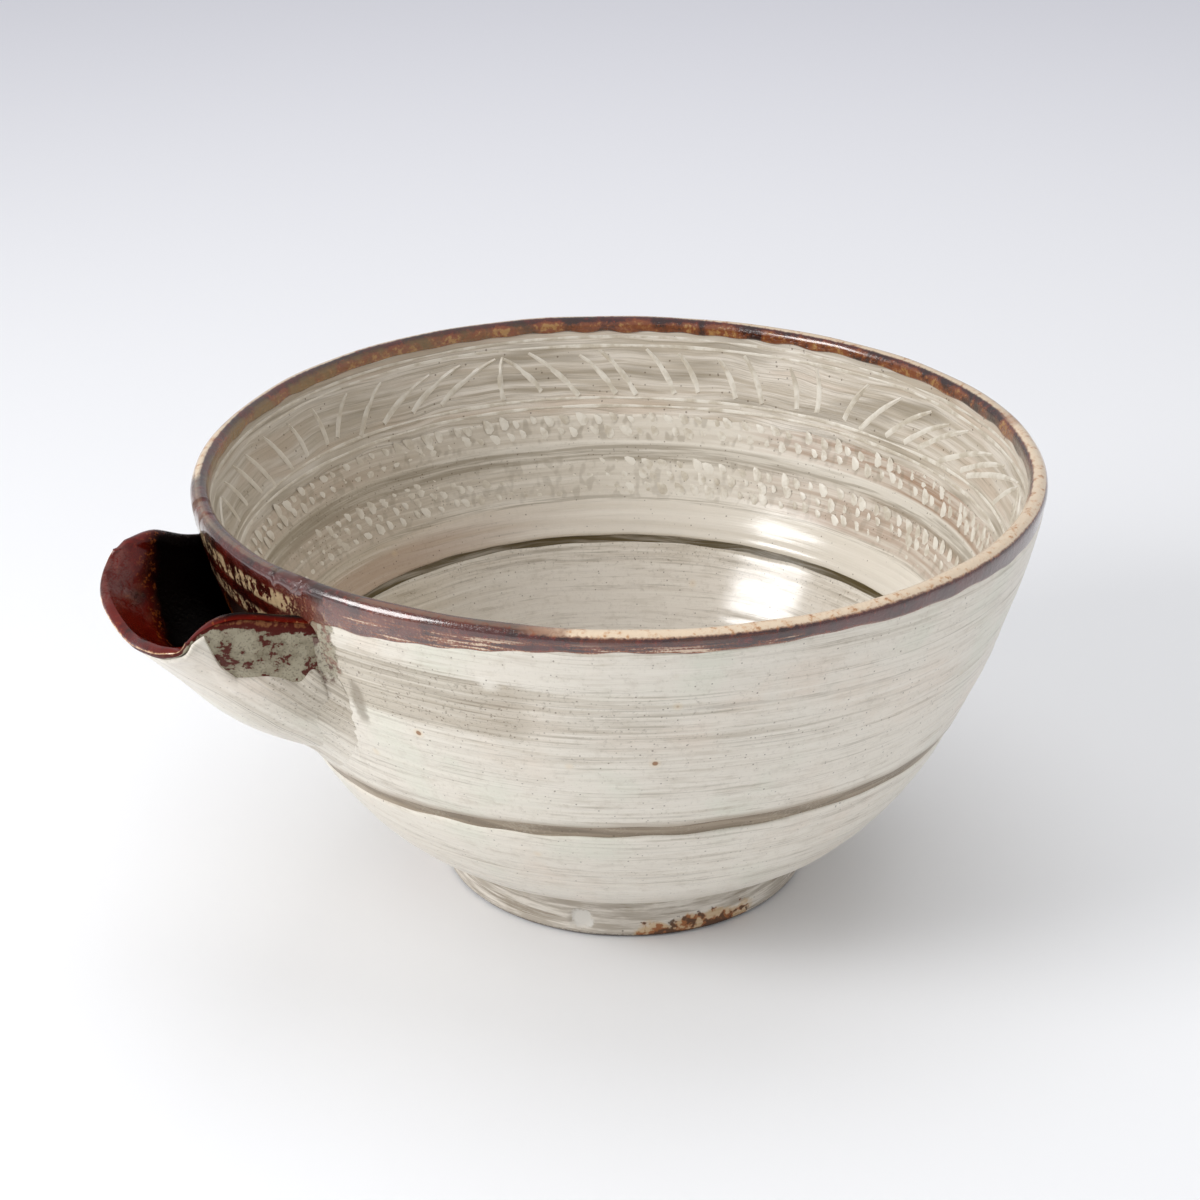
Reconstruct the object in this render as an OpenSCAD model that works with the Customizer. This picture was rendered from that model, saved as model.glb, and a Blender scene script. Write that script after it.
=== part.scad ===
// Katakuchi: a thrown stoneware bowl with a luted foot ring and a pulled pouring spout.
// Millimetres. The origin is the middle of the foot on the table, +Z is up and the spout points along -X.

/* [Bowl] */
// Diameter of the mouth, outside the lip
rim_d = 160; // [140:1:190]
// Height from the table to the top of the lip
bowl_h = 86; // [78:1:100]
// Thickness of the finished wall where it leaves the foot
wall_t = 5; // [4:0.1:7]
// Thickness of the finished lip
lip_t = 3.4; // [2.6:0.1:5]
// How far the wall runs out flat from the foot before it turns up
belly_run = 27; // [20:1:34]
// Length of the upright pull that straightens the wall under the lip
rim_pull = 8; // [4:1:16]
// How far the middle of the well sinks below its edge
well_dish = 1.5; // [0.5:0.1:2.5]

/* [Foot] */
// Outside diameter of the foot ring
foot_d = 73; // [60:1:84]
// Height of the foot ring
foot_h = 11; // [8:0.5:14]
// Width of the foot ring
foot_w = 6; // [4:0.5:10]
// Height of the boss under the floor that the foot ring is luted round
boss_h = 3; // [1:0.5:5]
// Rounding of the foot ring's resting edges
foot_round = 1.2; // [0.4:0.1:2]

/* [Spout] */
// Reach of the pouring lip beyond the rim
spout_reach = 22.5; // [16:0.5:30]
// Width of the spout at the pouring lip
spout_lip_w = 40; // [32:1:46]
// Width of the spout where its keel leaves the wall
spout_root_w = 52; // [44:1:60]
// How far the spout's side edges lie below the rim
spout_drop = 5; // [4:0.5:9]
// How far the side edges sag where they meet the wall
spout_sag = 5; // [2:0.5:7]
// Depth of the channel at the pouring lip
lip_depth = 9; // [7:0.5:14]
// How far the corners of the pouring lip stand back from its middle
lip_set_back = 7.5; // [4:0.5:12]
// How much lower the lip's near corner hangs than its far one
lip_tilt = 2; // [0:0.5:4]
// Height at which the keel leaves the wall
keel_z = 42; // [41:1:50]
// How far the keel bellies down between the wall and the pouring lip
keel_belly = 3; // [0:0.5:4]
// Thickness of the slab that the spout is made of
slab_t = 3.6; // [3:0.1:5]
// Radius of the coil of clay that lutes the spout to the wall
coil_r = 4; // [3:0.5:5]
// Width of the pour hole through the wall
hole_w = 28; // [22:1:32]
// Height of the pour hole
hole_h = 18; // [14:1:22]
// Depth of the middle of the pour hole below the rim
hole_drop = 23; // [18:1:26]

/* [Slip and glaze] */
// Thickness of the brushed slip and of the iron glaze
coat_t = 0.4; // [0.3:0.05:0.8]
// Height of the groove round the outside, at the bowl's axis
groove_z = 34.5; // [32:0.5:37]
// Width of the groove
groove_w = 2.4; // [1.6:0.1:4]
// Tilt of the groove, from its low side to its high side
groove_tilt = 6; // [0:0.5:7]
// Direction of the groove's high side, seen from above
groove_turn = -98; // [-180:1:180]
// Height of the bare ring inside, below the brushed wall
bare_ring_z = 40.5; // [36:0.5:44]
// Width of the bare ring inside
bare_ring_w = 2; // [1.2:0.1:4]
// How far the iron band comes down the outside
band_out = 4.6; // [3:0.1:6]
// How far the iron band comes down the inside
band_in = 3; // [2.4:0.1:4]

/* [Inlay] */
// Depth of the upper pair of lines below the rim
feather_top = 5.2; // [5:0.1:7]
// Distance from the upper pair of lines down to the lower pair
feather_h = 12.5; // [10:0.5:15]
// Number of strokes in the feather band
stroke_count = 64; // [32:1:72]
// Number of groups that the strokes' slant alternates in
stroke_groups = 8; // [2:2:16]
// Width of a stroke at its head
stroke_w = 1.4; // [0.8:0.1:2]
// Width of a stroke at its tail
stroke_tail_w = 0.6; // [0.4:0.1:1]
// Slant of a stroke
stroke_slant = 20; // [0:1:25]
// Gap between the strokes and the pairs of lines
stroke_gap = 0.6; // [0.3:0.1:1.5]
// Width of an inlaid line
line_w = 0.8; // [0.5:0.1:1]
// Gap between the two lines of a pair
line_gap = 1; // [0.6:0.1:1.2]

/* [Hidden] */
$fn = 128;

// Colours as fired
clay = "#8f8577";
slip = "#e2dccf";
foot_clay = "#8a7f68";
iron = "#4a1d12";
inlay = "#f0ece2";

rim_r = rim_d / 2;
foot_r = foot_d / 2;
boss_r = foot_r - foot_w;
wall_steps = 48;
well_steps = 8;
lip_steps = 12;
big = rim_d + bowl_h;

// Wall curve: a cubic from the foot's top edge to the outside of the lip
wall_ctrl = [
    [foot_r, foot_h],
    [foot_r + belly_run, foot_h],
    [rim_r, bowl_h - lip_t / 2 - rim_pull],
    [rim_r, bowl_h - lip_t / 2]
];

function unit(v) = v / norm(v);
function wall_point(t) =
    (1 - t) ^ 3 * wall_ctrl[0] + 3 * (1 - t) ^ 2 * t * wall_ctrl[1]
    + 3 * (1 - t) * t ^ 2 * wall_ctrl[2] + t ^ 3 * wall_ctrl[3];
function wall_slope(t) =
    (1 - t) ^ 2 * (wall_ctrl[1] - wall_ctrl[0]) + 2 * (1 - t) * t * (wall_ctrl[2] - wall_ctrl[1])
    + t ^ 2 * (wall_ctrl[3] - wall_ctrl[2]);
// Unit vector from the outside of the wall to the inside
function inward(t) = let (d = unit(wall_slope(t))) [-d.y, d.x];
function thickness(t) = wall_t + (lip_t - wall_t) * t;

// The wall is made of straight pieces between stations, which the body and its coats share
function station(t) = min(floor(t * wall_steps), wall_steps - 1);
function at_stations(points, t) =
    let (i = station(t))
    points[i] + (t * wall_steps - i) * (points[i + 1] - points[i]);
function stations(t0, t1) = concat(
    [t0],
    [for (i = [station(t0) + 1:wall_steps - 1]) if (i / wall_steps < t1) i / wall_steps],
    [t1]
);
function outside_points(depth) =
    [for (t = span(0, 1, wall_steps)) wall_point(t) + depth * inward(t)];
function inside_points(depth) =
    [for (t = span(0, 1, wall_steps)) wall_point(t) + (thickness(t) - depth) * inward(t)];
outside_face = outside_points(0);
outside_bed = outside_points(coat_t);
inside_face = inside_points(0);
inside_bed = inside_points(coat_t);

// Points [radius, height] on the finished faces, and on the clay beds under the coats
function outside(t) = at_stations(outside_face, t);
function outside_clay(t) = at_stations(outside_bed, t);
function inside(t) = at_stations(inside_face, t);
function inside_clay(t) = at_stations(inside_bed, t);

// Place on the wall curve where the outside or inside face reaches a height, by halving
function t_outside(z, lo = 0, hi = 1, n = 24) =
    n == 0 ? lo :
    let (mid = (lo + hi) / 2)
    outside_clay(mid).y < z ? t_outside(z, mid, hi, n - 1) : t_outside(z, lo, mid, n - 1);
function t_inside(z, lo = 0, hi = 1, n = 24) =
    n == 0 ? lo :
    let (mid = (lo + hi) / 2)
    inside_clay(mid).y < z ? t_inside(z, mid, hi, n - 1) : t_inside(z, lo, mid, n - 1);

function span(lo, hi, n) = [for (i = [0:n]) lo + (hi - lo) * i / n];
function reversed(v) = [for (i = [len(v) - 1:-1:0]) v[i]];

// Half round of the lip at a depth below its finished face, from the outside to the inside
function lip_arc(depth) =
    let (
        n = inward(1),
        up = unit(wall_slope(1)),
        mid = wall_point(1) + lip_t / 2 * n,
        r = lip_t / 2 - depth
    )
    [for (a = span(0, 180, lip_steps)) mid + r * (sin(a) * up - cos(a) * n)];

// Well of the bowl at a depth below its finished face, from its edge to the axis
function well_curve(depth) =
    let (edge = inside_points(depth)[0])
    [for (r = reversed(span(0, edge.x, well_steps)))
        [r, edge.y - well_dish * (1 - (r / edge.x) ^ 2)]];

// Layer of a coat on the outside or the inside between two places on the wall curve
module outside_coat(t0, t1) {
    steps = stations(t0, t1);
    rotate_extrude()
        polygon(concat(
            [for (t = steps) outside(t)],
            [for (t = reversed(steps)) outside_clay(t)]
        ));
}

module inside_coat(t0, t1) {
    steps = stations(t0, t1);
    rotate_extrude()
        polygon(concat(
            [for (t = steps) inside_clay(t)],
            [for (t = reversed(steps)) inside(t)]
        ));
}

// Outside of the raw bowl, filled, which everything luted to it is cut back to
module raw_bowl_filled() {
    rotate_extrude()
        polygon(concat(
            [[0, foot_h]],
            outside_bed,
            [[0, outside_clay(1).y]]
        ));
}

// Spout surface: s runs from 0 at the keel's root to 1 at the lip, a from -90 to 90 across the channel
edge_z = bowl_h - spout_drop;
root_u = outside_clay(t_outside(keel_z)).x;
lip_u = rim_r + spout_reach - slab_t / 2;
lip_keel_z = edge_z - lip_depth - slab_t / 2;
lip_front_power = 1.25;
lip_tilt_start = 0.75;
angle_step = 7.5;
edge_angle = 90;
lining_angle = 82.5;
slip_angle = 60;
seam_angle = 82.5;
spout_steps = 20;
// The surface starts inside the wall, deep enough to be cut back to it all the way round
buried_s = -0.3;
edge_arc = [45, 90, 135];
lip_arc_angles = [30, 60, 82];

function half_width(s) = (spout_lip_w - slab_t) / 2 + (spout_root_w - spout_lip_w) / 2 * (1 - s) ^ 2;
function side_z(s) = edge_z - slab_t / 2 - spout_sag * (1 - s) ^ 2;
function keel_height(s) = keel_z + (lip_keel_z - keel_z) * s - 4 * keel_belly * max(s, 0) * (1 - s);
function channel_depth(s) = side_z(s) - keel_height(s) - slab_t / 2;
function lip_front(a) = lip_u - lip_set_back * (1 - cos(a)) ^ lip_front_power;
function spout_u(s, a) = root_u + (lip_front(a) - root_u) * s;
// Outward normal and direction towards the edge, in the cross-section [across, up]
function across_normal(s, a) = unit([sin(a) / half_width(s), -cos(a) / channel_depth(s)]);
function across_tangent(s, a) = let (n = across_normal(s, a)) [-n.y, n.x];
// The hand-pulled lip hangs lower on its near side
function lip_hang(s, a) = lip_tilt * (1 - sin(a)) / 2 * (max(s - lip_tilt_start, 0) / (1 - lip_tilt_start)) ^ 2;
function across_point(s, a, offset) =
    [half_width(s) * sin(a), side_z(s) - channel_depth(s) * cos(a) - lip_hang(s, a)]
    + offset * across_normal(s, a);
function spout_point(s, a, offset) =
    let (p = across_point(s, a, offset))
    [-spout_u(s, a), p.x, p.y];

// One closed ring of a layer of the spout, with half-round edges
function edge_points(s, a, side, mid, half, angles) = [
    for (b = angles)
        let (
            p = across_point(s, a, mid) + half * (cos(b) * across_normal(s, a)
                + side * sin(b) * across_tangent(s, a))
        )
        [-spout_u(s, a), p.x, p.y]
];
function layer_ring(s, push, mid, half, a_max) =
    let (angles = [for (a = [-a_max:angle_step:a_max]) a])
    [for (p = concat(
        [for (a = angles) spout_point(s, a, mid + half)],
        edge_points(s, a_max, 1, mid, half, edge_arc),
        [for (a = reversed(angles)) spout_point(s, a, mid - half)],
        edge_points(s, -a_max, -1, mid, half, reversed(edge_arc))
    )) p - [push, 0, 0]];

// Skin over a row of rings, with both ends closed
module skin_rings(rings) {
    n = len(rings[0]);
    last = len(rings) - 1;
    polyhedron(
        points = [for (ring = rings) each ring],
        faces = concat(
            [for (i = [0:last - 1], j = [0:n - 1])
                let (k = (j + 1) % n)
                each [
                    [i * n + j, (i + 1) * n + k, (i + 1) * n + j],
                    [i * n + j, i * n + k, (i + 1) * n + k]
                ]],
            end_faces(n, 0, true),
            end_faces(n, last * n, false)
        )
    );
}

// Strip of triangles across a ring, from its outside points to its inside points
function end_faces(n, first, flip) = [
    for (j = [0:n / 2 - 2])
        let (p = first + j, q = first + j + 1, r = first + n - 2 - j, w = first + (n - 1 - j) % n)
        each flip ? [[p, w, q], [w, r, q]] : [[p, q, w], [w, q, r]]
];

spout_stations = span(buried_s, 1, spout_steps);

module spout_clay() {
    half = slab_t / 2;
    skin_rings(concat(
        [for (s = spout_stations) layer_ring(s, 0, 0, half, edge_angle)],
        [for (b = lip_arc_angles) layer_ring(1, half * sin(b), 0, half * cos(b), edge_angle)]
    ));
}

// Thin layer on the inside (side -1) or the outside (side 1) of the spout
module spout_layer(side, a_max, first) {
    skin_rings([
        for (i = [first:spout_steps])
            layer_ring(spout_stations[i], 0, side * (slab_t + coat_t) / 2, coat_t / 2, a_max)
    ]);
}

// Where the outside of the spout comes out of the raw wall, by halving along s
function wall_clear(p) = norm([p.x, p.y]) - outside_clay(t_outside(p.z)).x;
function seam_s(a, lo = buried_s, hi = 1, n = 18) =
    n == 0 ? lo :
    let (mid = (lo + hi) / 2)
    wall_clear(spout_point(mid, a, slab_t / 2)) < 0 ? seam_s(a, mid, hi, n - 1) : seam_s(a, lo, mid, n - 1);

seam_angles = [for (a = [-seam_angle:angle_step:seam_angle]) a];
seam_path = [for (a = seam_angles) spout_point(seam_s(a), a, slab_t / 2)];
// The coil is smeared thin towards its two ends
seam_radii = [for (a = seam_angles) coil_r * sqrt(cos(a))];
coil_sides = 12;
coil_clearance = 0.3;

// Round tube along a path in space, with a radius for each point
module tube(path, radii) {
    last = len(path) - 1;
    skin_rings([
        for (i = [0:last])
            let (
                along = unit(path[min(i + 1, last)] - path[max(i - 1, 0)]),
                side = unit(cross(along, [1, 0, 0])),
                up = cross(side, along)
            )
            [for (k = [0:coil_sides - 1]) path[i] + radii[i] * (cos(360 * k / coil_sides) * side
                + sin(360 * k / coil_sides) * up)]
    ]);
}

// Patch of the wall, seen along the spout, that stays bare for the spout and its coil
module root_patch() {
    margin = coil_r + coil_clearance;
    outline = [for (a = [-edge_angle:angle_step:edge_angle])
        let (s = seam_s(a))
        across_point(s, a, slab_t / 2 + margin)];
    top = bowl_h + coil_r;
    rotate([90, 0, -90])
        linear_extrude(big)
            polygon(concat(
                [[-outline[0].x, top]],
                [for (p = outline) [-p.x, p.y]],
                [[outline[0].x, top]]
            ));
}

// Slot with round ends through the wall under the rim, made larger by a margin
module pour_hole(margin = 0) {
    r = hole_h / 2 + margin;
    half_run = (hole_w - hole_h) / 2;
    translate([0, 0, bowl_h - hole_drop])
        rotate([0, -90, 0]) {
            for (side = [-1, 1])
                translate([0, side * half_run, 0])
                    cylinder(h = big, r = r);
            translate([-r, -half_run, 0])
                cube([2 * r, 2 * half_run, big]);
        }
}

// Everything above (side 1) or below (side -1) the groove's far edge
module beyond_groove(side) {
    rotate([0, 0, groove_turn])
        translate([0, 0, groove_z])
            rotate([0, -groove_tilt, 0])
                translate([0, 0, side * (big - groove_w) / 2])
                    cylinder(h = big, r = big, center = true);
}

module bowl_body() {
    color(clay)
        difference() {
            rotate_extrude()
                polygon(concat(
                    [[0, foot_h - boss_h], [boss_r, foot_h - boss_h], [boss_r, foot_h], [foot_r, foot_h]],
                    outside_bed,
                    lip_arc(coat_t),
                    reversed(inside_bed),
                    well_curve(coat_t)
                ));
            pour_hole();
        }
}

module foot_ring() {
    color(foot_clay)
        rotate_extrude()
            polygon(concat(
                [[foot_r, foot_h], [boss_r, foot_h]],
                [for (a = span(180, 270, lip_steps))
                    [boss_r + foot_round, foot_round] + foot_round * [cos(a), sin(a)]],
                [for (a = span(270, 360, lip_steps))
                    [foot_r - foot_round, foot_round] + foot_round * [cos(a), sin(a)]]
            ));
}

module spout() {
    color(clay)
        difference() {
            spout_clay();
            raw_bowl_filled();
        }
}

module spout_seam_coil() {
    color(clay)
        difference() {
            tube(seam_path, seam_radii);
            raw_bowl_filled();
            spout_clay();
        }
}

band_out_t = t_outside(bowl_h - band_out);
band_in_t = t_inside(bowl_h - band_in);

module outer_slip_upper() {
    color(slip)
        difference() {
            outside_coat(0, band_out_t);
            beyond_groove(-1);
            root_patch();
        }
}

module outer_slip_lower() {
    color(slip)
        difference() {
            outside_coat(0, band_out_t);
            beyond_groove(1);
            root_patch();
        }
}

upper_pair_z = bowl_h - feather_top;
lower_pair_z = upper_pair_z - feather_h;
line_pitch = line_w + line_gap;
// Half the height of a pair of lines
pair_half = line_pitch / 2 + line_w / 2;

module inner_slip_wall() {
    color(slip)
        difference() {
            inside_coat(t_inside(bare_ring_z + bare_ring_w / 2), t_inside(lower_pair_z - pair_half - line_gap / 2));
            pour_hole();
        }
}

module inner_slip_well() {
    steps = stations(0, t_inside(bare_ring_z - bare_ring_w / 2));
    color(slip)
        rotate_extrude()
            polygon(concat(
                reversed(well_curve(coat_t)),
                [for (t = steps) inside_clay(t)],
                [for (t = reversed(steps)) inside(t)],
                well_curve(0)
            ));
}

module rim_iron_band() {
    out_steps = stations(band_out_t, 1);
    in_steps = stations(band_in_t, 1);
    color(iron)
        rotate_extrude()
            polygon(concat(
                [for (t = out_steps) outside(t)],
                lip_arc(0),
                [for (t = reversed(in_steps)) inside(t)],
                [for (t = in_steps) inside_clay(t)],
                reversed(lip_arc(coat_t)),
                [for (t = reversed(out_steps)) outside_clay(t)]
            ));
}

module spout_iron_lining() {
    color(iron)
        difference() {
            spout_layer(-1, lining_angle, 0);
            raw_bowl_filled();
        }
}

// The slip on the spout's keel starts clear of the coil
slip_first = ceil(0.6 * spout_steps);

module spout_slip_coat() {
    color(slip)
        spout_layer(1, slip_angle, slip_first);
}

module inlay_ring_lines() {
    color(inlay)
        difference() {
            for (pair_z = [lower_pair_z, upper_pair_z], side = [-1, 1])
                let (z = pair_z + side * line_pitch / 2)
                inside_coat(t_inside(z - line_w / 2), t_inside(z + line_w / 2));
            pour_hole();
        }
}

stroke_steps = 3;
stroke_foot_z = lower_pair_z + pair_half + stroke_gap;
stroke_head_z = upper_pair_z - pair_half - stroke_gap;
// Strokes that would cross the pour hole are left out
hole_margin = 3;
hole_half_angle = asin((hole_w / 2 + hole_margin) / inside(t_inside(lower_pair_z)).x);

// One tapered stroke on the inside of the wall, round a direction and leaning to one side
module feather_stroke(turn, lean) {
    skin_rings([
        for (z = span(stroke_foot_z, stroke_head_z, stroke_steps))
            let (
                t = t_inside(z),
                face = inside(t),
                bed = inside_clay(t),
                rise = (z - stroke_foot_z) / (stroke_head_z - stroke_foot_z),
                shift = lean * tan(stroke_slant) * (rise - 0.5) * (stroke_head_z - stroke_foot_z),
                half = (stroke_tail_w + (stroke_w - stroke_tail_w) * rise) / 2,
                degrees = 180 / PI / bed.x
            )
            [
                for (corner = [[bed, -half], [face, -half], [face, half], [bed, half]])
                    let (angle = turn + (shift + corner[1]) * degrees)
                    [corner[0].x * cos(angle), corner[0].x * sin(angle), corner[0].y]
            ]
    ]);
}

module inlay_feather_strokes() {
    per_group = stroke_count / stroke_groups;
    color(inlay)
        for (i = [0:stroke_count - 1]) {
            turn = 360 * (i + 0.5) / stroke_count;
            lean = floor(i / per_group) % 2 == 0 ? 1 : -1;
            if (abs(turn - 180) > hole_half_angle)
                feather_stroke(turn, lean);
        }
}

bowl_body();
foot_ring();
spout();
spout_seam_coil();
outer_slip_upper();
outer_slip_lower();
inner_slip_wall();
inner_slip_well();
rim_iron_band();
spout_iron_lining();
spout_slip_coat();
inlay_ring_lines();
inlay_feather_strokes();
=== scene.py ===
"""Dresses the katakuchi as fired stoneware: brushed white slip, iron glaze on lip and spout, inlaid lines."""

import logging
import math
from dataclasses import dataclass
from enum import Enum
from typing import Callable

import bmesh
import bpy
import numpy as np
from mathutils import Matrix, Vector


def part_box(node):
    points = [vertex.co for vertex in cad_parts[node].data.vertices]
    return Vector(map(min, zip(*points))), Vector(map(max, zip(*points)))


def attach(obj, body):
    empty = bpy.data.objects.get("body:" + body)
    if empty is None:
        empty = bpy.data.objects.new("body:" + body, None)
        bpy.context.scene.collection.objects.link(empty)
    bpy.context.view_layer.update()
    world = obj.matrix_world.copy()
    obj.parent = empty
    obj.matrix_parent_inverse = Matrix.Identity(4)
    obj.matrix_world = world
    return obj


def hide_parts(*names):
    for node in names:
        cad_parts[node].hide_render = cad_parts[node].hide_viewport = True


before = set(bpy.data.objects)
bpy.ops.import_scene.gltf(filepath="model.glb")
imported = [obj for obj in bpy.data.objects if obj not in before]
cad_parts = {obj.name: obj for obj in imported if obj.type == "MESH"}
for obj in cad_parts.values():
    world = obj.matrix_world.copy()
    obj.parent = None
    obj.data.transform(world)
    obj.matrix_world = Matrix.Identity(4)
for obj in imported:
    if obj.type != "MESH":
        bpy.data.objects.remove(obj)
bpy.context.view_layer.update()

LOG = logging.getLogger("katakuchi")
MM = 0.001
BODY = "root"
FULL_TURN = 2 * math.pi
COLUMNS = 480
SPOUT_TURN = 180.0
THETA = np.linspace(0, FULL_TURN, COLUMNS, endpoint=False)
SHARP_ANGLE = math.radians(50)
BURIED = 0.25
Array = np.ndarray
Piece = bpy.types.Object
Relief = Callable[[Array, Array], Array]


class Fired(Enum):
    """Colours of the fired clay, slips and glazes, as they look in plain light, and a black for painted
    shade.
    """

    CREAM = "#e3dccf"
    CREAM_LIGHT = "#ece6da"
    STREAK = "#b3a794"
    STREAK_DARK = "#8f8473"
    BLUSH = "#e2cfbd"
    CELADON = "#d3d8c6"
    SPECK = "#54402c"
    SPECK_RUST = "#8a5a2a"
    SCRAPED = "#e5ddd1"
    WASH = "#c4b9a8"
    WASH_DARK = "#8b7f6b"
    WASH_PINK = "#cdb8a3"
    WASH_RUST = "#a88a73"
    WASH_OCHRE = "#96845f"
    OLIVE = "#4f4018"
    GROOVE = "#a0907b"
    GROOVE_DARK = "#7a6b57"
    CLAY = "#a3927a"
    CLAY_DARK = "#7a6a55"
    FOOT = "#ddd6cb"
    FOOT_DARK = "#b0a698"
    FACET = "#a29a85"
    FACET_DARK = "#857c67"
    FOOT_EDGE = "#46372b"
    FOOT_RUST = "#96501c"
    FOOT_TAN = "#c9a878"
    CHIP = "#dcd8d0"
    IRON = "#4d140b"
    IRON_DEEP = "#2a0906"
    # Black for painted shade in the spout's channel, not a glaze colour.
    PAINTED_SHADE_BLACK = "#050202"
    IRON_RED = "#741a0d"
    IRON_SCARLET = "#721206"
    IRON_THIN = "#78493c"
    IRON_VIOLET = "#6b4842"
    IRON_OLIVE = "#8a6a35"
    IRON_RUST = "#8f4a1b"
    IRON_HONEY = "#b58a4c"
    LIP_TAN = "#ead3b6"
    LIP_ORANGE = "#c9935f"
    DRIP = "#dcc196"
    INLAY = "#eae4d8"
    INLAY_GREY = "#cfc6b5"

    @property
    def linear(self) -> tuple[float, float, float, float]:
        """The colour in linear light, as a shader socket takes it.

        Returns:
            Red, green, blue and alpha.
        """
        parts = [int(self.value[i:i + 2], 16) / 255 for i in (1, 3, 5)]
        red, green, blue = (c / 12.92 if c <= 0.04045 else ((c + 0.055) / 1.055) ** 2.4 for c in parts)
        return red, green, blue, 1.0


class SlipPlace(Enum):
    """Where a coat of slip was brushed, which decides how it looks."""

    OUTSIDE = "outside"
    INSIDE = "inside"
    WELL = "well"
    KEEL = "keel"
    SEAM = "seam"


def smooth(value: Array, low: float, high: float) -> Array:
    """Eases from 0 at low to 1 at high."""
    part = np.clip((value - low) / (high - low), 0.0, 1.0)
    return part * part * (3 - 2 * part)


def off_turn(theta: Array, turn: float) -> Array:
    """Angles in radians from a direction in degrees, from half a turn back to half a turn on."""
    return (theta - math.radians(turn) + math.pi) % FULL_TURN - math.pi


def turned_window(theta: Array, turn: float, half: float) -> Array:
    """A soft hump, 1 at a direction in degrees and 0 beyond a half width in degrees."""
    return 1 - smooth(np.abs(off_turn(theta, turn)), 0.0, math.radians(half))


def unit_rows(vectors: Array) -> Array:
    """Vectors of length 1 along the last axis."""
    return vectors / np.maximum(np.linalg.norm(vectors, axis=-1, keepdims=True), 1e-9)


def turned(radius: Array | float, height: Array | float, theta: Array = THETA) -> Array:
    """Points round the bowl's axis, along a last axis of three."""
    return np.stack(np.broadcast_arrays(radius * np.cos(theta), radius * np.sin(theta), height), axis=-1)


def ring_faces(first: int, last: int, count: int) -> list:
    """Four-sided faces between two rings of points.

    Args:
        first: Number of the first ring's first point.
        last: Number of the last ring's first point.
        count: Points in each ring.

    Returns:
        Rows of four point numbers.
    """
    around = np.arange(count)
    after = np.roll(around, -1)
    return np.stack([first + around, first + after, last + after, last + around], axis=1).tolist()


@dataclass(frozen=True)
class HandNoise:
    """Unevenness of hand work, as a sum of waves that closes round the turn.

    Attributes:
        seed: Start of the random draws.
        turns: Most waves in one turn.
        pitch: Shortest wave along the wall, in millimetres.
        waves: Number of waves in the sum.
    """

    seed: int
    turns: int
    pitch: float = 40.0
    waves: int = 14

    def at(self, theta: Array, run: Array | float = 0.0) -> Array:
        """Height of the noise, mostly from -1 to 1.

        Args:
            theta: Angles round the bowl in radians.
            run: Distances along the wall in millimetres.

        Returns:
            The sum of the waves at each place.
        """
        draws = np.random.default_rng(self.seed)
        total = np.zeros(np.broadcast(theta, run).shape)
        for _ in range(self.waves):
            around = int(draws.integers(1, self.turns + 1)) * (1 if draws.random() < 0.5 else -1)
            along = draws.uniform(0.25, 1.0) * FULL_TURN / self.pitch
            total = total + np.sin(around * theta + along * run + draws.uniform(0, FULL_TURN))
        return total / math.sqrt(self.waves)


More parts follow.
